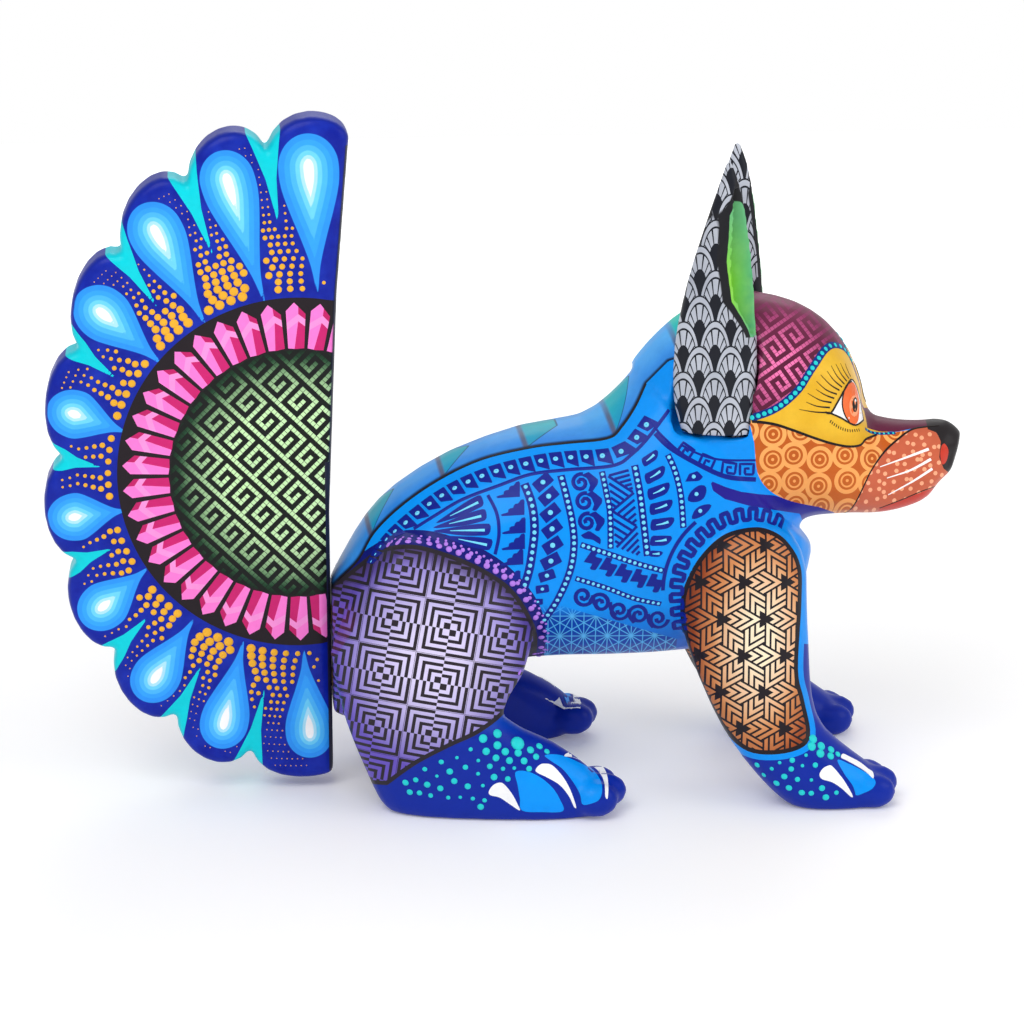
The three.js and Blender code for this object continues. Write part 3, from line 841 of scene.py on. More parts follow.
made, points = otherPieces["tail_fan"]
fanCentre = (-78.0, 120.0)
fanU, fanV = points[:, 0] / mm - shiftX - fanCentre[0], points[:, 2] / mm - fanCentre[1]
addField(made.data, "tu", fanU)
addField(made.data, "tv", fanV)
fanFaces = np.array([tuple(p.vertices) for p in made.data.polygons])
addField(made.data, "flat", np.abs(normalsOf(points, fanFaces)[:, 1]))


def onEllipse(degrees, out, up, down):
    a = math.radians(degrees)
    return np.array([out * math.cos(a), (up if math.sin(a) > 0 else down) * math.sin(a)])


petals = dict(count=10, start=76.0, end=277.0, first=86.0, step=20.4, rim=(91, 127, 117), notch=0.915)
# the pointed end of each teardrop
tips = [(8, 67), (-11, 64), (-32, 56), (-48, 42), (-61, 17), (-62, -12), (-55, -34), (-39, -54), (-21, -63),
        (1, -67)]
tearOutlines, wedgeOutlines = [], []
for i in range(petals["count"]):
    head = onEllipse(petals["first"] + petals["step"] * i, 80.5, 111, 100)
    tip = np.array(tips[i], dtype=float)
    if i == petals["count"] - 1:
        head = np.array([2.6, -98.0])
    aim = head - tip
    length = np.linalg.norm(aim)
    aim /= length
    beside = np.array([-aim[1], aim[0]])
    fat = 10.6 if i == 0 else 9.6 if i < 4 else 8.8
    profile = [(0, 0.35), (0.2, 0.16 * fat), (0.42, 0.42 * fat), (0.64, 0.72 * fat), (0.84, 0.95 * fat),
               (1.0, fat)]
    left = [tip + aim * length * t + beside * w for t, w in profile]
    cap = [head + fat * (aim * math.sin(a) * 1.12 + beside * math.cos(a))
           for a in np.linspace(0, math.pi, 9)[1:-1]]
    right = [tip + aim * length * t - beside * w for t, w in profile[::-1]]
    tearOutlines.append((rounded(left + cap + right, steps=3), fat))
for i in range(petals["count"] - 1):
    angle = petals["start"] + (petals["end"] - petals["start"]) * (i + 1) / petals["count"]
    notch = onEllipse(angle, *petals["rim"]) * petals["notch"]
    towards = (np.array(tips[i], dtype=float) + np.array(tips[i + 1])) / 2
    aim = notch - towards
    length = np.linalg.norm(aim)
    aim /= length
    beside = np.array([-aim[1], aim[0]])
    deep = min(27.0, length * 0.62)
    side = [(12, 7.4), (4, 5.0), (0, 4.0), (-0.33 * deep, 1.9), (-0.72 * deep, 0.75), (-deep, 0)]
    wedgeOutlines.append(np.array([notch + aim * a + beside * b for a, b in side]
                                  + [notch + aim * a - beside * b for a, b in side[-2::-1]]))
fanOutline = []
for i in range(petals["count"]):
    for t in np.linspace(0, 1, 8)[:-1]:
        angle = petals["start"] + (petals["end"] - petals["start"]) * (i + t) / petals["count"]
        swell = petals["notch"] + (1 - petals["notch"]) * math.sin(math.pi * t) ** 0.6
        fanOutline.append(tuple(onEllipse(angle, *petals["rim"]) * swell))
fanOutline += [(11.2, -114), (11.2, -15), (15, 65), (20, 121)]
drop = np.full(len(fanU), -99.0)
for outline, fat in tearOutlines:
    drop = np.maximum(drop, insideDistance(fanU, fanV, outline) / fat)
wedge = np.full(len(fanU), -99.0)
for outline in wedgeOutlines:
    wedge = np.maximum(wedge, insideDistance(fanU, fanV, outline))
addField(made.data, "drop", drop)
addField(made.data, "wedge", wedge)

nodeBody = {"ear_right": "ear_right", "ear_left": "ear_left", "tail_fan": "tail"}
nodePaint = {"torso": "torso", "head": "head", "ear_right": "ear", "ear_left": "ear", "tail_fan": "tail",
             "leg_front_right": "frontLeg", "leg_front_left": "frontLeg", "leg_hind_right": "hindLeg",
             "leg_hind_left": "hindLeg"}
for name, (made, points) in {**bodyPieces, **otherPieces}.items():
    made.data.materials.append(paints[nodePaint[name]])
    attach(made, nodeBody.get(name, "root"))
    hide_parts(name)
for name in hiddenDowels + ["tail_peg_upper", "tail_peg_lower"]:
    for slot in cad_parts[name].material_slots:
        slot.material = bareWood.material


# strokes of paint: thin closed bodies laid on the carved surface
paintLayer = dict(step=1.0, lift=0.07, sink=0.16, grid=1.5)
heap = {}
dotHeap = {}


def nearMiss(start):
    # where a line of sight passes the carving without meeting it: the closest surface point
    found = [bodyTree.find_nearest(Vector((start + boardIn * depth) * mm)) for depth in (60, 85, 110)]
    return min(found, key=lambda hit: hit[3])


def lay(points, onHead, side):
    # board points onto the carving: places and surface directions in millimetres
    places, facings = [], []
    for u, v in points:
        start = np.array(board["middle"]) + boardRight * u + boardUp * v - boardIn * 90
        hit = bodyTree.ray_cast(Vector(start * mm), Vector(boardIn))
        if hit[0] is None:
            hit = nearMiss(start)
        places.append(np.array(hit[0]) / mm)
        facings.append(np.array(hit[1]))
    if side == "far":
        return grip(otherSide(np.array(places), onHead))
    return np.array(places), np.array(facings)


def grip(places):
    # the nearest places and directions on the carving
    found = [bodyTree.find_nearest(Vector(p * mm)) for p in places]
    return np.array([np.array(f[0]) / mm for f in found]), np.array([np.array(f[1]) for f in found])


def add(colour, vertices, faces):
    held = heap.setdefault(colour, dict(vertices=[], faces=[], count=0))
    held["vertices"].append(vertices)
    held["faces"].extend([tuple(int(i) + held["count"] for i in f) for f in faces])
    held["count"] += len(vertices)


def spaced(points, step, closed=False):
    # the same line with evenly spaced points
    p = np.array(points, dtype=float)
    if closed:
        p = np.vstack([p, p[:1]])
    lengths = np.concatenate([[0], np.cumsum(np.hypot(*np.diff(p, axis=0).T))])
    count = max(2, int(round(lengths[-1] / step)) + 1)
    at = np.linspace(0, lengths[-1], count)
    if closed:
        at = at[:-1]
    return np.stack([np.interp(at, lengths, p[:, 0]), np.interp(at, lengths, p[:, 1])], axis=1)


def stroke(colour, points, width, smooth=True, onHead=False, closed=False, lift=None, ends=(1, 1)):
    # one brush stroke; ends thins it towards either end
    path = rounded(points, closed=closed) if smooth else np.array(points, dtype=float)
    path = spaced(path, paintLayer["step"] if smooth else 0.8, closed)
    lift = paintLayer["lift"] if lift is None else lift
    middle = 1 if min(ends) == 1 else sum(ends) / 2
    thick = np.interp(np.linspace(0, 1, len(path)), [0, 0.5, 1], [ends[0], middle, ends[1]])
    for side in ("near", "far"):
        places, facings = lay(path, onHead, side)
        along = np.roll(places, -1, axis=0) - np.roll(places, 1, axis=0)
        if not closed:
            along[0], along[-1] = places[1] - places[0], places[-1] - places[-2]
        across = np.cross(facings, along)
        across /= np.maximum(np.linalg.norm(across, axis=1), 1e-9)[:, None]
        half = (width / 2 * thick)[:, None]
        left, leftUp = grip(places - across * half)
        right, rightUp = grip(places + across * half)
        rings = np.stack([left - leftUp * paintLayer["sink"], left + leftUp * lift,
                          places + facings * (lift + 0.05),
                          right + rightUp * lift, right - rightUp * paintLayer["sink"]], axis=1)
        count = len(path)
        faces = []
        for i in range(count if closed else count - 1):
            j = (i + 1) % count
            faces += [(i * 5 + k, j * 5 + k, j * 5 + (k + 1) % 5, i * 5 + (k + 1) % 5) for k in range(5)]
        if not closed:
            faces += [tuple(range(5)), tuple(range(count * 5 - 1, count * 5 - 6, -1))]
        add(colour, rings.reshape(-1, 3), faces)


def fill(colour, points, smooth=False, onHead=False, lift=None, fine=1.0):
    # one filled shape; fine below one lays it on a closer grid
    outline = rounded(points) if smooth else np.array(points, dtype=float)
    outline = spaced(outline, paintLayer["step"] * fine, closed=True)
    low, high = outline.min(axis=0), outline.max(axis=0)
    grid = paintLayer["grid"] * fine
    inner = np.array([(x, y) for x in np.arange(low[0] + grid / 2, high[0], grid)
                      for y in np.arange(low[1] + grid / 2, high[1], grid)])
    count = len(outline)
    if len(inner):
        inner = inner[insideDistance(inner[:, 0], inner[:, 1], outline) > 0.45 * grid]
    spots = [Vector(p) for p in outline] + [Vector(p) for p in inner]
    made = delaunay(spots, [(i, (i + 1) % count) for i in range(count)], [], 1, 1e-6)
    if len(made[0]) != len(spots):
        return
    triangles = [f for f in made[2] if len(f) == 3]
    first, second, third = (spots[i] for i in triangles[0])
    if (second - first).cross(third - first) < 0:
        triangles = [f[::-1] for f in triangles]
    lift = paintLayer["lift"] if lift is None else lift
    total = len(spots)
    edges = {(f[i], f[(i + 1) % 3]): None for f in triangles for i in range(3)}
    rim = [(a, b) for a, b in edges if (b, a) not in edges]
    for side in ("near", "far"):
        places, facings = lay([tuple(p) for p in spots], onHead, side)
        vertices = np.vstack([places + facings * lift, places - facings * paintLayer["sink"]])
        faces = list(triangles) + [tuple(i + total for i in f[::-1]) for f in triangles]
        faces += [(b, a, a + total, b + total) for a, b in rim]
        if side == "far":
            faces = [f[::-1] for f in faces]
        add(colour, vertices, faces)


def dot(colour, u, v, radius, onHead=False, lift=0.0):
    for side in ("near", "far"):
        places, facings = lay([(u, v)], onHead, side)
        dotHeap.setdefault(colour, []).append((places[0] + facings[0] * lift, facings[0], radius))


class Track:  # a curve on the board with distances along it and beside it
    def __init__(self, points, step=0.5):
        self.path = spaced(rounded(points, closed=False), step)
        gaps = np.hypot(*np.diff(self.path, axis=0).T)
        self.length = gaps.sum()
        self.at = np.concatenate([[0], np.cumsum(gaps)])
        self.aim = np.gradient(self.path, axis=0)
        self.aim /= np.linalg.norm(self.aim, axis=1)[:, None]

    def spot(self, s, beside=0.0):  # beside is to the right of travel when above zero
        s = min(max(s, 0), self.length)
        x, y, a, b = (np.interp(s, self.at, column) for column in (*self.path.T, *self.aim.T))
        return (x + b * beside, y - a * beside)

    def shape(self, s, points):
        return [self.spot(s + p[0], p[1]) for p in points]

    def slide(self, offset, start=0.0, end=None):
        end = self.length if end is None else end
        return [self.spot(s, offset) for s in np.arange(start, end + 0.01, 2.0)]


def dotRow(points, width, pitch, radius, colour="sky", band="navy", onHead=False):
    # a row of even dots, on a painted band when one is named
    track = Track(points)
    if band:
        stroke(band, points, width, onHead=onHead)
    count = int(track.length / pitch)
    for i in range(count):
        dot(colour, *track.spot((i + 0.5) * track.length / count), radius, onHead, 0.08)


def spiral(centre, radius, turns, start, clockwise=1, steps=26):
    points = []
    for i in range(steps + 1):
        t = i / steps
        angle = math.radians(start) + clockwise * t * turns * 2 * math.pi
        r = radius * (1 - 0.82 * t)
        points.append((centre[0] + r * math.cos(angle), centre[1] + r * math.sin(angle)))
    return points


def turned(points, u, v, degrees, grow=1.0):
    # a small shape turned, scaled and moved to its place on the board
    c, s = math.cos(math.radians(degrees)), math.sin(math.radians(degrees))
    return [(u + grow * (x * c - y * s), v + grow * (x * s + y * c)) for x, y in points]


# the body, drawn for the near side; the far side is laid as well
backLine = Track([(-53.6, -18), (-48, -8.3), (-37.4, 1.7), (-24.4, 10.8), (-9.3, 17.5), (7.5, 21.7),
                  (19.7, 23.3), (36, 24.6), (42.6, 30.5), (48.5, 39)])
s = 0.5
while s < backLine.length - 6:
    size = min(1, 0.5 + s / 40)
    wide, deep = 4.6 * size, 6.0 * size
    top = 1.5
    block = [(0, top), (wide, top), (wide + 0.7, top + deep), (0.7, top + deep * 0.68)]
    fill("navy", backLine.shape(s, block), lift=0.1, fine=0.6)
    bead = backLine.spot(s + wide * 0.5, top + deep * 0.40)
    dot("sky", *bead, 1.0 * size, lift=0.06)
    dot("azure", *bead, 0.42 * size, lift=0.26)
    s += 5.6 * size
stroke("black", spineLine[1:], 0.8)
stroke("navy", [(-35, -6), (-27, -1), (-17.6, 4.5), (-4.2, 9.6), (6.6, 13.4), (19.2, 15.0), (36, 16.5),
                (42.6, 20.5), (48.5, 26.5), (56, 36.4)], 1.3)
fanPetal = [(0, 0), (0.3, -1.0), (0.65, -2.0), (0.9, -2.3), (1, -1.8), (0.97, 1.5), (0.8, 1.9), (0.55, 1.8),
            (0.25, 1.0)]
for tip, end in (((-27, -3.9), (-10.3, 4.2)), ((-28, -5.6), (-9, -1)), ((-28, -6.8), (-7.6, -6.4)),
                 ((-24, -8.6), (-7.2, -12))):
    track = Track([tip, end])
    fill("navy", [track.spot(track.length * share, beside) for share, beside in fanPetal], smooth=True)
    shine = [track.spot(track.length * share) for share in (0.30, 0.62, 0.90)]
    stroke("sky", shine, 0.95, lift=0.2, ends=(0.25, 1))
stroke("navy", [(-8.6, 6), (-5.4, -0.5), (-4.6, -8), (-6, -15)], 1.5, ends=(0.8, 0.8))
for u, v in ((2.8, 5.4), (4.4, -1.0), (4.8, -7.4), (4.6, -13.1), (4.0, -18.6), (3.0, -24)):
    size = 0.6 if v < -20 else 1.0
    fill("navy", [(u, v), (u, v + 5.6 * size), (u - 1.7, v + 5.2 * size), (u - 1.8, v + 4.1 * size),
                  (u - 3.7 * size, v + 3.8 * size), (u - 3.8 * size, v + 2.5 * size),
                  (u - 5.6 * size, v + 2.2 * size), (u - 5.8 * size, v + 0.8),
                  (u - 8.4 * size, v + 0.2), (u - 8.4 * size, v - 0.5)])
dotRow([(4.4, 10), (7, 3), (8, -5.5), (7.2, -14), (6, -21), (4.2, -27)], 3.1, 2.25, 0.78)
box = [(-3.5, -2.1), (3.5, -2.1), (3.5, 2.1), (-3.5, 2.1)]
for u, v, degrees, grow in ((11, 10.6, 40, 1), (13, 5.6, 40, 1), (13.6, -0.2, 38, 1), (14.2, -6, 36, 1),
                            (14.4, -11.8, 32, 1), (13.8, -17.4, 27, 1), (12.4, -22.6, 18, 0.84),
                            (10.8, -27.4, 8, 0.68), (9.2, -32, 0, 0.52)):
    fill("navy", turned(box, u, v, degrees, grow))
    dot("sky", u, v, 0.95 * grow, lift=0.06)
dotRow([(17.4, 13), (19.6, 4.5), (21.4, -4), (22, -12), (20.6, -21), (16.4, -31), (11, -39.5)],
       2.7, 2.1, 0.74)
curlTail = [(0.2, 2.6), (2.8, 3.9), (6.4, 1.0), (6.0, -0.6), (4.0, -3.4), (2.6, -3.0), (3.4, -1.0),
            (2.4, 1.6)]
for u, v in ((24.4, 10.4), (25.8, 3.6), (26.7, -3.6)):
    stroke("navy", spiral((u, v), 3.2, 1.4, 75, 1), 1.4)
    fill("navy", turned(curlTail, u, v, 0))
fill("navy", [(24.4, -8.2), (27.4, -6.6), (31.6, -9.4), (31.4, -11.6), (28.6, -9.8), (25.4, -9.4)])
dotRow([(32, 14.4), (33.6, 6.4), (34.8, -0.5), (35, -13)], 2.2, 1.95, 0.66)
weave = np.array([(41.4, 15.2), (34.2, 13.2), (43.2, 7.3), (35.5, 0.9), (44.4, -4.6), (36.8, -12.4),
                  (45.6, -15.8)])
for first, second, third in zip(weave, weave[1:], weave[2:]):
    for t in (0.04, 0.25, 0.46, 0.66, 0.84):
        hatch = [tuple(first + (third - first) * t), tuple(second + (third - second) * t)]
        stroke("navy", hatch, 0.95, smooth=False)
dotRow([(43.6, 16.6), (45.4, 7), (46.8, -4), (48.2, -15.6)], 2.6, 2.1, 0.74)
bean = [(-4, -2.0), (-1, -1.9), (2.2, -1.3), (4, 0.6), (4.2, 2.4), (1.5, 2.4), (-1.6, 2.0), (-3.8, 1.5)]
beanLight = [(-2.2, -0.2), (0, 0.2), (2.2, 0.9)]
for u, v, grow in ((49.3, 19, 0.8), (51, 13, 0.95), (52.2, 7.2, 1), (53, 1.5, 1), (53.4, -4.4, 1),
                   (52.9, -10.4, 0.9), (51.2, -15, 0.55)):
    degrees = 26 - (19 - v) * 1.1
    fill("navy", turned(bean, u, v, degrees, grow), smooth=True)
    stroke("sky", turned(beanLight, u, v, degrees, grow), 0.9, lift=0.2, ends=(0.3, 1))
dotRow([(55.4, 20.4), (58, 14.4), (60, 6), (61, -5.6)], 2.3, 2.0, 0.7)
fill("navy", [(61.6, 10.8), (63, 13.6), (66, 14.6), (68, 12.4), (66.4, 11)])
fill("navy", [(62.6, 4), (63.4, 7), (66.4, 9.4), (69, 9), (68.6, 5.4), (66, 3.6)], smooth=True)
fill("navy", [(64, -2.4), (65, 0.6), (67.6, 2.4), (71, 2.6), (69.4, -0.2), (66.6, -2)], smooth=True)
for u, v in ((64.6, 12.6), (65.6, 6.4), (67, 0.4)):
    dot("sky", u, v, 0.75, lift=0.08)
dotRow([(24.4, -11.6), (34, -14.8), (44, -18.2), (54, -21)], 2.1, 1.9, 0.68)
hookLine = Track([(25.6, -15.6), (32, -18.6), (42, -22.6), (55, -26.6)])
hook = [(0.2, -3.0), (2.6, -3.4), (2.2, -1.4), (5.2, -2.0), (4.4, 3.0), (2.2, 3.4), (2.6, 1.2), (-0.6, 2.0)]
for k in range(5):
    fill("navy", hookLine.shape(1.4 + k * 5.9, hook))
dotRow([(22.6, -23.6), (34, -27.2), (44, -31), (53.4, -33)], 2.0, 1.8, 0.62)
for k, (u, v) in enumerate(((25.4, -30), (31.6, -32.6), (38.4, -35.2), (45.4, -37), (52.6, -38.4))):
    stroke("navy", spiral((u, v), 3.7, 1.5, 175 if k % 2 else -5, -1), 1.5)
    if k < 4:
        stroke("navy", [(u + 3.5, v + 0.4), (u + 3.9, v - 2.4), (u + 5.6, v - 4.6)], 1.4)
ring = Track([(60.4, -42), (58.6, -31), (59.6, -20.6), (64.6, -11), (73.6, -3.4), (84, -0.4), (93, -1.6),
              (99.4, -5)])
wave = []
s = 0.0
while s < ring.length - 2.4:
    wave += ring.shape(s, [(0, 2.4), (0, -1.7), (2.55, -1.7), (2.55, 2.4)])
    s += 5.1
stroke("navy", wave, 1.7, smooth=False)
stroke("navy", ring.slide(-4.6, 14, ring.length - 32), 1.4)
for points, width in (([(51, 28), (56, 23), (65, 17.6), (76, 12.6), (87, 11.6)], 1.7),
                      ([(49, 33), (53, 27.6), (61, 20.4), (70, 15.4)], 0.8),
                      ([(60, 24), (66, 20.8), (74, 18.6), (86.6, 18.4)], 0.8)):
    stroke("navy", points, width)
key = [(-2.8, -1.9), (-2.8, 2.1), (2.0, 2.1), (2.0, -1.6), (-1.0, -1.6), (-1.0, 0.5), (0.6, 0.5)]
for u, v, degrees in ((62, 21.4, -35), (69.6, 17.6, -24), (77.6, 15.4, -8), (84, 15, 0)):
    stroke("navy", turned(key, u, v, degrees), 0.95, smooth=False)
thighEdge = Track(thighLine[2:11])
for row, (beside, radius, pitch) in enumerate(((-1.5, 1.15, 3.6), (-2.9, 0.8, 3.1), (-4.0, 0.5, 2.8))):
    s = 3.0 + row * 1.4
    while s < thighEdge.length - 14:
        left = thighEdge.length - s
        place = thighEdge.spot(s, beside * min(1, 0.45 + s / 40) * min(1, left / 26))
        dot("lilac", *place, radius * min(1, left / 30 + 0.2))
        s += pitch
print("body drawn")

# the feet
for claw in ([(-4.7, -96.5), (-2.8, -97.1), (0, -100.6), (2, -104.4), (2.8, -106.7), (-0.7, -104.4),
              (-4.4, -101.9), (-7.6, -101.1), (-8.3, -99.8), (-6.9, -97.6)],
             [(11.5, -89.9), (14.4, -90.6), (18.2, -94.7), (20.9, -99.5), (23, -105.4), (22.2, -105.4),
              (20.4, -101.7), (17.1, -97.6), (12.8, -94.9), (9, -93), (8.4, -91.9), (9.8, -90.3)],
             [(20.4, -86.6), (25.2, -87.6), (30.1, -90.3), (33.3, -93), (34.4, -96.3), (34.1, -102.2),
              (33.3, -101.5), (33, -96.8), (31.1, -93.6), (26.3, -90.3), (22, -88.2), (18.7, -87.6)],
             [(114.1, -91.2), (115.3, -91.6), (117.7, -94.3), (120.1, -97.5), (122.8, -102.2),
              (122.1, -102.6), (118.9, -99.7), (115.3, -97.3), (111.6, -96.1), (110.6, -94.7), (111, -93.3),
              (112.2, -92)],
             [(119.5, -87.4), (121.7, -88.4), (125.8, -90.6), (129, -93.1), (130.6, -94.3), (130.4, -96.3),
              (127.8, -93.9), (123.8, -91.4), (120.5, -89.6), (118.7, -88.6)]):
    fill("white", claw, smooth=True, lift=0.2, fine=0.5)
for toe in ([(1.2, -92.8), (5.3, -92.5), (10.1, -94.7), (14.4, -98.4), (17.1, -102.7), (18.2, -107),
             (10.7, -107.3), (3.6, -106.7), (2.8, -102.2), (2, -97.4)],
            [(11.7, -87), (17.1, -87.1), (23.6, -89.8), (29, -93), (31.7, -96.3), (32.2, -99.5),
             (31.1, -102.7), (27.9, -104.2), (25.2, -104.4), (24.4, -101.1), (22, -96.8), (18.2, -92),
             (14.4, -89.3)],
            [(117.3, -89.4), (121.7, -91), (126.6, -93.5), (130.2, -95.9), (131.2, -97.7), (129.8, -99.9),
             (126.6, -101.5), (124.2, -102.2), (123.6, -100.7), (122.6, -98.3), (119.7, -94.3)]):
    fill("azure", toe, smooth=True, lift=0.12, fine=0.5)
for u, v, radius in ((2, -82.6, 2.6), (-5.2, -79, 1.7), (-10.3, -80.6, 1.6), (-5.2, -83.1, 1.5),
                     (-9.2, -85.2, 1.4), (-2.4, -85.4, 1.4), (2.2, -85.9, 1.4), (6.6, -85, 1.4),
                     (9.8, -83.8, 1.3), (12.5, -85.7, 1.1), (-5.7, -87.6, 1.3), (-0.9, -88.6, 1.3),
                     (4.3, -88.8, 1.3), (8.6, -87.4, 1.2), (108.4, -81.7, 1.7), (107.8, -84.3, 1.7),
                     (111.4, -84.3, 1.6), (111, -86.9, 1.6), (115.1, -85.7, 1.4), (114.8, -87.9, 1.4),
                     (117.6, -87.4, 1.1)):
    dot("teal", u, v, radius, lift=0.02)
for u, v in ((-7.9, -90.6), (-12, -88.5), (-16.6, -90.9), (-14.7, -84.4), (-19.6, -87.4), (-25.2, -89),
             (-31.1, -91.7), (-22.2, -92.5), (-26.8, -94.2), (-34.4, -95.7), (-38.1, -96.8), (-30.3, -97.4),
             (-25.6, -98.7), (-20.6, -96), (-12.1, -93.3), (-15.8, -97.9), (-10.4, -97.6), (-6.4, -94.5),
             (-3.2, -91.5), (-1.5, -95.2), (0.8, -91.3), (6.1, -91.6), (-36.6, -100.3), (-33.1, -100.5),
             (-29.1, -101.4), (-22.8, -102.1), (-18.5, -101.9), (-14, -102.4), (-9.8, -103),
             (-11.2, -105.4), (105.7, -87.4), (104.4, -91.2), (109.1, -91), (107.7, -96.4), (100.7, -89.2),
             (100.4, -92.4), (96.2, -90.1), (98, -95.2), (93.5, -92.4), (102.7, -96.2), (88.4, -91.2),
             (90.9, -94.9), (83.5, -88.9), (95.4, -97.8), (99.8, -99.4), (104.4, -101.1), (107.8, -101.3),
             (113.1, -102.8), (111.6, -99.4), (116.9, -101.1)):
    dot("teal", u, v, 0.95 + 0.3 * math.sin(u * 1.7 + v), lift=0.02)
print("feet drawn")

# the face
face = dict(onHead=True)
fill("white", [(112.9, 35), (115.6, 39.2), (118.3, 43.7), (120.4, 46.6), (121.4, 47.3), (123.2, 45.3),
               (124.5, 41), (125.3, 36.8), (125.7, 33.1), (123.5, 31.5), (121.9, 31), (119.6, 32),
               (116.7, 33.6)], lift=0.1, **face)
fill("iris", [(121.2, 46.6), (118.8, 44.8), (117.4, 41), (117.2, 37.6), (118.2, 34.2), (119.8, 32),
              (121.9, 31.2), (123.2, 32.5), (123.9, 36.8), (123.9, 41), (123, 44.8)],
     smooth=True, lift=0.15, **face)
fill("irisLight", [(121.8, 41.6), (120.2, 39.8), (119.8, 37), (120.6, 34.6), (122.2, 34), (123.4, 36.4),
                   (123.3, 40)], smooth=True, lift=0.19, **face)
fill("black", [(122.2, 41), (121.2, 39.6), (121, 37.6), (121.6, 35.6), (122.5, 35.8), (123, 38), (122.9, 40)],
     smooth=True, lift=0.23, **face)
# a white dot on the pupil: a painted highlight
dot("white", 122.2, 39.7, 0.55, lift=0.24, **face)
stroke("black", [(121.2, 46.6), (118.8, 44.8), (117.4, 41), (117.2, 37.6), (118.2, 34.2), (119.8, 32)],
       0.45, lift=0.2, **face)
stroke("black", [(111, 35.4), (112.9, 35), (115.6, 39.2), (118.3, 43.7), (121.2, 47.4), (123.2, 45.3),
                 (124.5, 41), (125.3, 36.8), (125.8, 33.0)], 0.6, lift=0.2, **face)
stroke("black", [(112.9, 35), (116.7, 33.4), (119.6, 31.8), (121.9, 30.9), (123.7, 31.5), (125.8, 33)],
       0.6, lift=0.2, **face)
for start, middle, end in (((112.6, 35.2), (107, 35.4), (101.6, 36.3)),
                           ((112.6, 37), (108, 37.4), (104, 38.9)),
                           ((113.2, 38.8), (109, 39.6), (104.6, 42.0)),
                           ((114.2, 40.3), (111, 41.4), (107.6, 43.4)),
                           ((115.2, 41.8), (111.4, 43.2), (107.8, 46.3)),
                           ((116.2, 43.2), (112.8, 45.2), (109.4, 48.6)),
                           ((117.2, 44.4), (114.2, 46.8), (111.8, 50)),
                           ((118.2, 45.5), (115.4, 48.4), (113.4, 52)),
                           ((119.2, 46.6), (117, 49.2), (115.2, 52.6)),
                           ((120.2, 47.6), (118.4, 50), (117, 53)),
                           ((121, 48.5), (119.8, 50.6), (119, 53))):
    stroke("black", [start, middle, end], 0.62, ends=(1, 0.25), **face)
underEye = Track([(112.8, 32.8), (116, 30.6), (119.8, 29.4), (124, 29.8)])
lashes = 14
for i in range(lashes):
    s = 0.4 + i * underEye.length / lashes
    stroke("black", [underEye.spot(s, 0), underEye.spot(s + 0.2, 1.0)], 0.34, smooth=False, **face)
stroke("black", cheekLine, 0.95, ends=(1.1, 0.8), **face)
stroke("black", muzzleLine[::-1], 0.9, ends=(0.5, 1), **face)
stroke("black", [(153.6, 9.4), (148, 7.6), (141, 4.6), (133, 1.4)], 0.5, **face)
for start, middle, end in (((132, 16.2), (141, 19.4), (149.6, 22.6)),
                           ((134.6, 12.2), (143, 15), (150.4, 19)),
                           ((135.4, 6.2), (144, 11), (151, 15.6))):
    stroke("white", [start, middle, end], 1.05, ends=(0.3, 1), lift=0.12, **face)
beadBand = [(84, 33.2)] + beadLine[1:]
stroke("deep", beadBand, 2.7, **face)
dotRow(beadBand, 0, 2.15, 0.88, "teal", band=None, **face)
dotRow([(126.4, 29.8), (129, 28.6), (133, 28.2), (138, 28.4)], 1.1, 1.6, 0.42, "teal", "deep", **face)
print("face drawn")


# the strokes and dots become bodies, one for each colour
strokePaint = dict(navy=srgb(14, 32, 140), black=srgb(32, 26, 26), white=srgb(250, 250, 250),
                   azure=srgb(0, 150, 248), sky=srgb(118, 218, 252), teal=srgb(38, 212, 214),
                   deep=srgb(6, 48, 128), lilac=srgb(184, 128, 236), iris=srgb(240, 112, 56),
                   irisLight=srgb(252, 164, 118), orange=srgb(242, 178, 52))


def strokeShader(name):
    shader = Shader(name + "Stroke")
    streak = shader.noise(900, 2.0)
    worn = shader.tint(strokePaint[name], streak * 0.5 + 0.55)
    return shader.finish(shader.mix(streak.ramp(0.55, 0.8) * 0.22, strokePaint[name], worn), bump=0.35)


strokeMaterials = {name: strokeShader(name) for name in strokePaint}
for colour, held in heap.items():
    made = objectFrom("paint_" + colour, np.vstack(held["vertices"]) * mm, held["faces"])
    made.data.materials.append(strokeMaterials[colour])
    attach(made, "root")
    print("strokes of", colour, len(made.data.polygons), "faces")


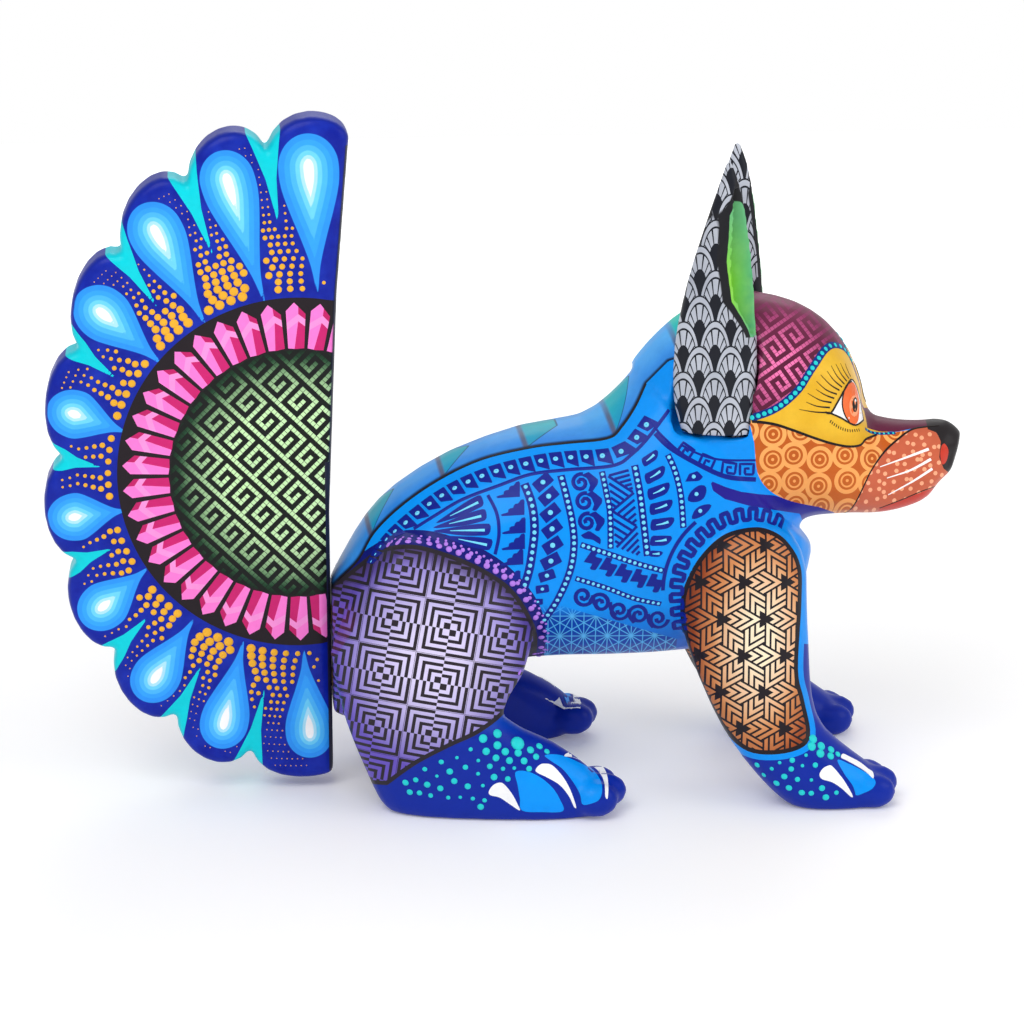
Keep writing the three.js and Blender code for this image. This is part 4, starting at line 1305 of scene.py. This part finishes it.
def domes(name, spots, colour, body, flatness=0.34):
    # Geometry Nodes: one flattened dome of paint on every spot, turned to the surface
    cloud = bpy.data.meshes.new(name + "Spots")
    cloud.from_pydata([tuple(p * mm) for p, _, _ in spots], [], [])
    radius = cloud.attributes.new("radius", "FLOAT", "POINT")
    radius.data.foreach_set("value", np.array([r * mm for _, _, r in spots], dtype=np.float32))
    facing = cloud.attributes.new("facing", "FLOAT_VECTOR", "POINT")
    facing.data.foreach_set("vector", np.concatenate([n for _, n, _ in spots]).astype(np.float32))
    host = bpy.data.objects.new(name + "Host", cloud)
    bpy.context.scene.collection.objects.link(host)
    tree = bpy.data.node_groups.new(name + "Domes", "GeometryNodeTree")
    tree.interface.new_socket("Geometry", in_out="INPUT", socket_type="NodeSocketGeometry")
    for title, value in (("Flatness", flatness), ("Swell", 1.0)):
        socket = tree.interface.new_socket(title, in_out="INPUT", socket_type="NodeSocketFloat")
        socket.default_value = value
    tree.interface.new_socket("Geometry", in_out="OUTPUT", socket_type="NodeSocketGeometry")
    make, link = tree.nodes.new, tree.links.new
    source, drain = make("NodeGroupInput"), make("NodeGroupOutput")
    ball, onPoints = make("GeometryNodeMeshUVSphere"), make("GeometryNodeInstanceOnPoints")
    turn = make("FunctionNodeAlignRotationToVector")
    turn.axis = "Z"
    ball.inputs["Segments"].default_value, ball.inputs["Rings"].default_value = 12, 6
    size, aim = make("GeometryNodeInputNamedAttribute"), make("GeometryNodeInputNamedAttribute")
    size.data_type, aim.data_type = "FLOAT", "FLOAT_VECTOR"
    size.inputs["Name"].default_value, aim.inputs["Name"].default_value = "radius", "facing"
    swell, low, scale = make("ShaderNodeMath"), make("ShaderNodeMath"), make("ShaderNodeCombineXYZ")
    swell.operation = low.operation = "MULTIPLY"
    realize, paint = make("GeometryNodeRealizeInstances"), make("GeometryNodeSetMaterial")
    paint.inputs["Material"].default_value = strokeMaterials[colour]
    link(source.outputs["Geometry"], onPoints.inputs["Points"])
    link(ball.outputs["Mesh"], onPoints.inputs["Instance"])
    link(aim.outputs["Attribute"], turn.inputs["Vector"])
    link(turn.outputs["Rotation"], onPoints.inputs["Rotation"])
    link(size.outputs["Attribute"], swell.inputs[0])
    link(source.outputs["Swell"], swell.inputs[1])
    link(swell.outputs[0], low.inputs[0])
    link(source.outputs["Flatness"], low.inputs[1])
    link(swell.outputs[0], scale.inputs[0])
    link(swell.outputs[0], scale.inputs[1])
    link(low.outputs[0], scale.inputs[2])
    link(scale.outputs[0], onPoints.inputs["Scale"])
    link(onPoints.outputs["Instances"], realize.inputs[0])
    link(realize.outputs[0], paint.inputs["Geometry"])
    link(paint.outputs[0], drain.inputs[0])
    modifier = host.modifiers.new("domes", "NODES")
    modifier.node_group = tree
    for item in tree.interface.items_tree:
        if item.in_out == "INPUT" and item.name == "Flatness":
            modifier[item.identifier] = flatness
    mesh = bpy.data.meshes.new_from_object(host.evaluated_get(bpy.context.evaluated_depsgraph_get()))
    made = bpy.data.objects.new(name, mesh)
    bpy.context.scene.collection.objects.link(made)
    bpy.data.objects.remove(host)
    mesh.polygons.foreach_set("use_smooth", np.ones(len(mesh.polygons), dtype=bool))
    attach(made, body)
    print(name, len(spots), "dots")


for colour, spots in dotHeap.items():
    domes("dots_" + colour, spots, colour, "root")

# the tail: big dots near the ring, smaller towards the rim, between teardrops and grooves
tailDots = dict(first=67.6, last=126, pitch=2.7, start=75, sweep=203, biggest=1.75, smallest=0.5, fade=24)
fanFace = np.abs(otherPieces["tail_fan"][1][:, 1]).max() / mm
candidates = []
for reach in np.arange(tailDots["first"], tailDots["last"], tailDots["pitch"]):
    shrunk = tailDots["biggest"] - (reach - 67.5) / tailDots["fade"]
    grow = np.clip(shrunk, tailDots["smallest"], tailDots["biggest"])
    sweep = math.radians(tailDots["sweep"])
    count = int(sweep * reach / max(2.0 * grow * 1.22, 1.9))
    for i in range(count):
        stagger = 0.5 * (int(reach / tailDots["pitch"]) % 2)
        angle = math.radians(tailDots["start"]) + sweep * (i + stagger) / count
        candidates.append((reach * math.cos(angle), reach * math.sin(angle), grow))
spotU, spotV, spotGrow = np.array(candidates).T
clear = np.max([insideDistance(spotU, spotV, d[0]) for d in tearOutlines], axis=0)
groove = np.max([insideDistance(spotU, spotV, w) for w in wedgeOutlines], axis=0)
rim = insideDistance(spotU, spotV, fanOutline)
size = spotGrow * (0.42 + 0.58 * np.clip((rim - 6) / 24, 0, 1))
outer = np.hypot(spotU, spotV) - size > gemRing["outer"] + 0.3
kept = (clear < -size - 0.4) & (groove < -size - 0.35) & (rim > 3.6 + size) & outer
tailSpots = []
for u, v, radius in zip(spotU[kept], spotV[kept], size[kept]):
    for side in (1.0, -1.0):
        place = np.array([u + fanCentre[0] + shiftX, side * fanFace, v + fanCentre[1]])
        tailSpots.append((place, np.array([0.0, side, 0.0]), radius))
domes("tail_dots", tailSpots, "orange", "tail", flatness=0.22)


floorSetup = dict(half=1.5, tone=0.97, near=0.3, far=1.2, glow=0.5, least=0.13)
half = floorSetup["half"]
corners = [(-half, -half, 0), (half, -half, 0), (half, half, 0), (-half, half, 0)]
floor = objectFrom("floor", corners, [(0, 1, 2, 3)])
floorShader = Shader("paleFloor")
floorTone = floorShader.noise(3.0, 2.0) * 0.02 + 0.98
# the floor brightens away from the figure, to meet the white backdrop
reach = floorShader.node("ShaderNodeVectorMath", dict(operation="LENGTH"), [floorShader.objectVector()],
                         "Value")
glow = reach.ramp(floorSetup["near"], floorSetup["far"]) * floorSetup["glow"] + floorSetup["least"]
pale = (floorSetup["tone"],) * 3 + (1,)
surface = floorShader.node("ShaderNodeBsdfPrincipled", None, {
    "Base Color": floorShader.tint(pale, floorTone), "Roughness": 0.6,
    "Emission Color": (1, 1, 1, 1), "Emission Strength": glow})
floorShader.node("ShaderNodeOutputMaterial", None, {"Surface": surface})
floor.data.materials.append(floorShader.material)
print("floor laid")
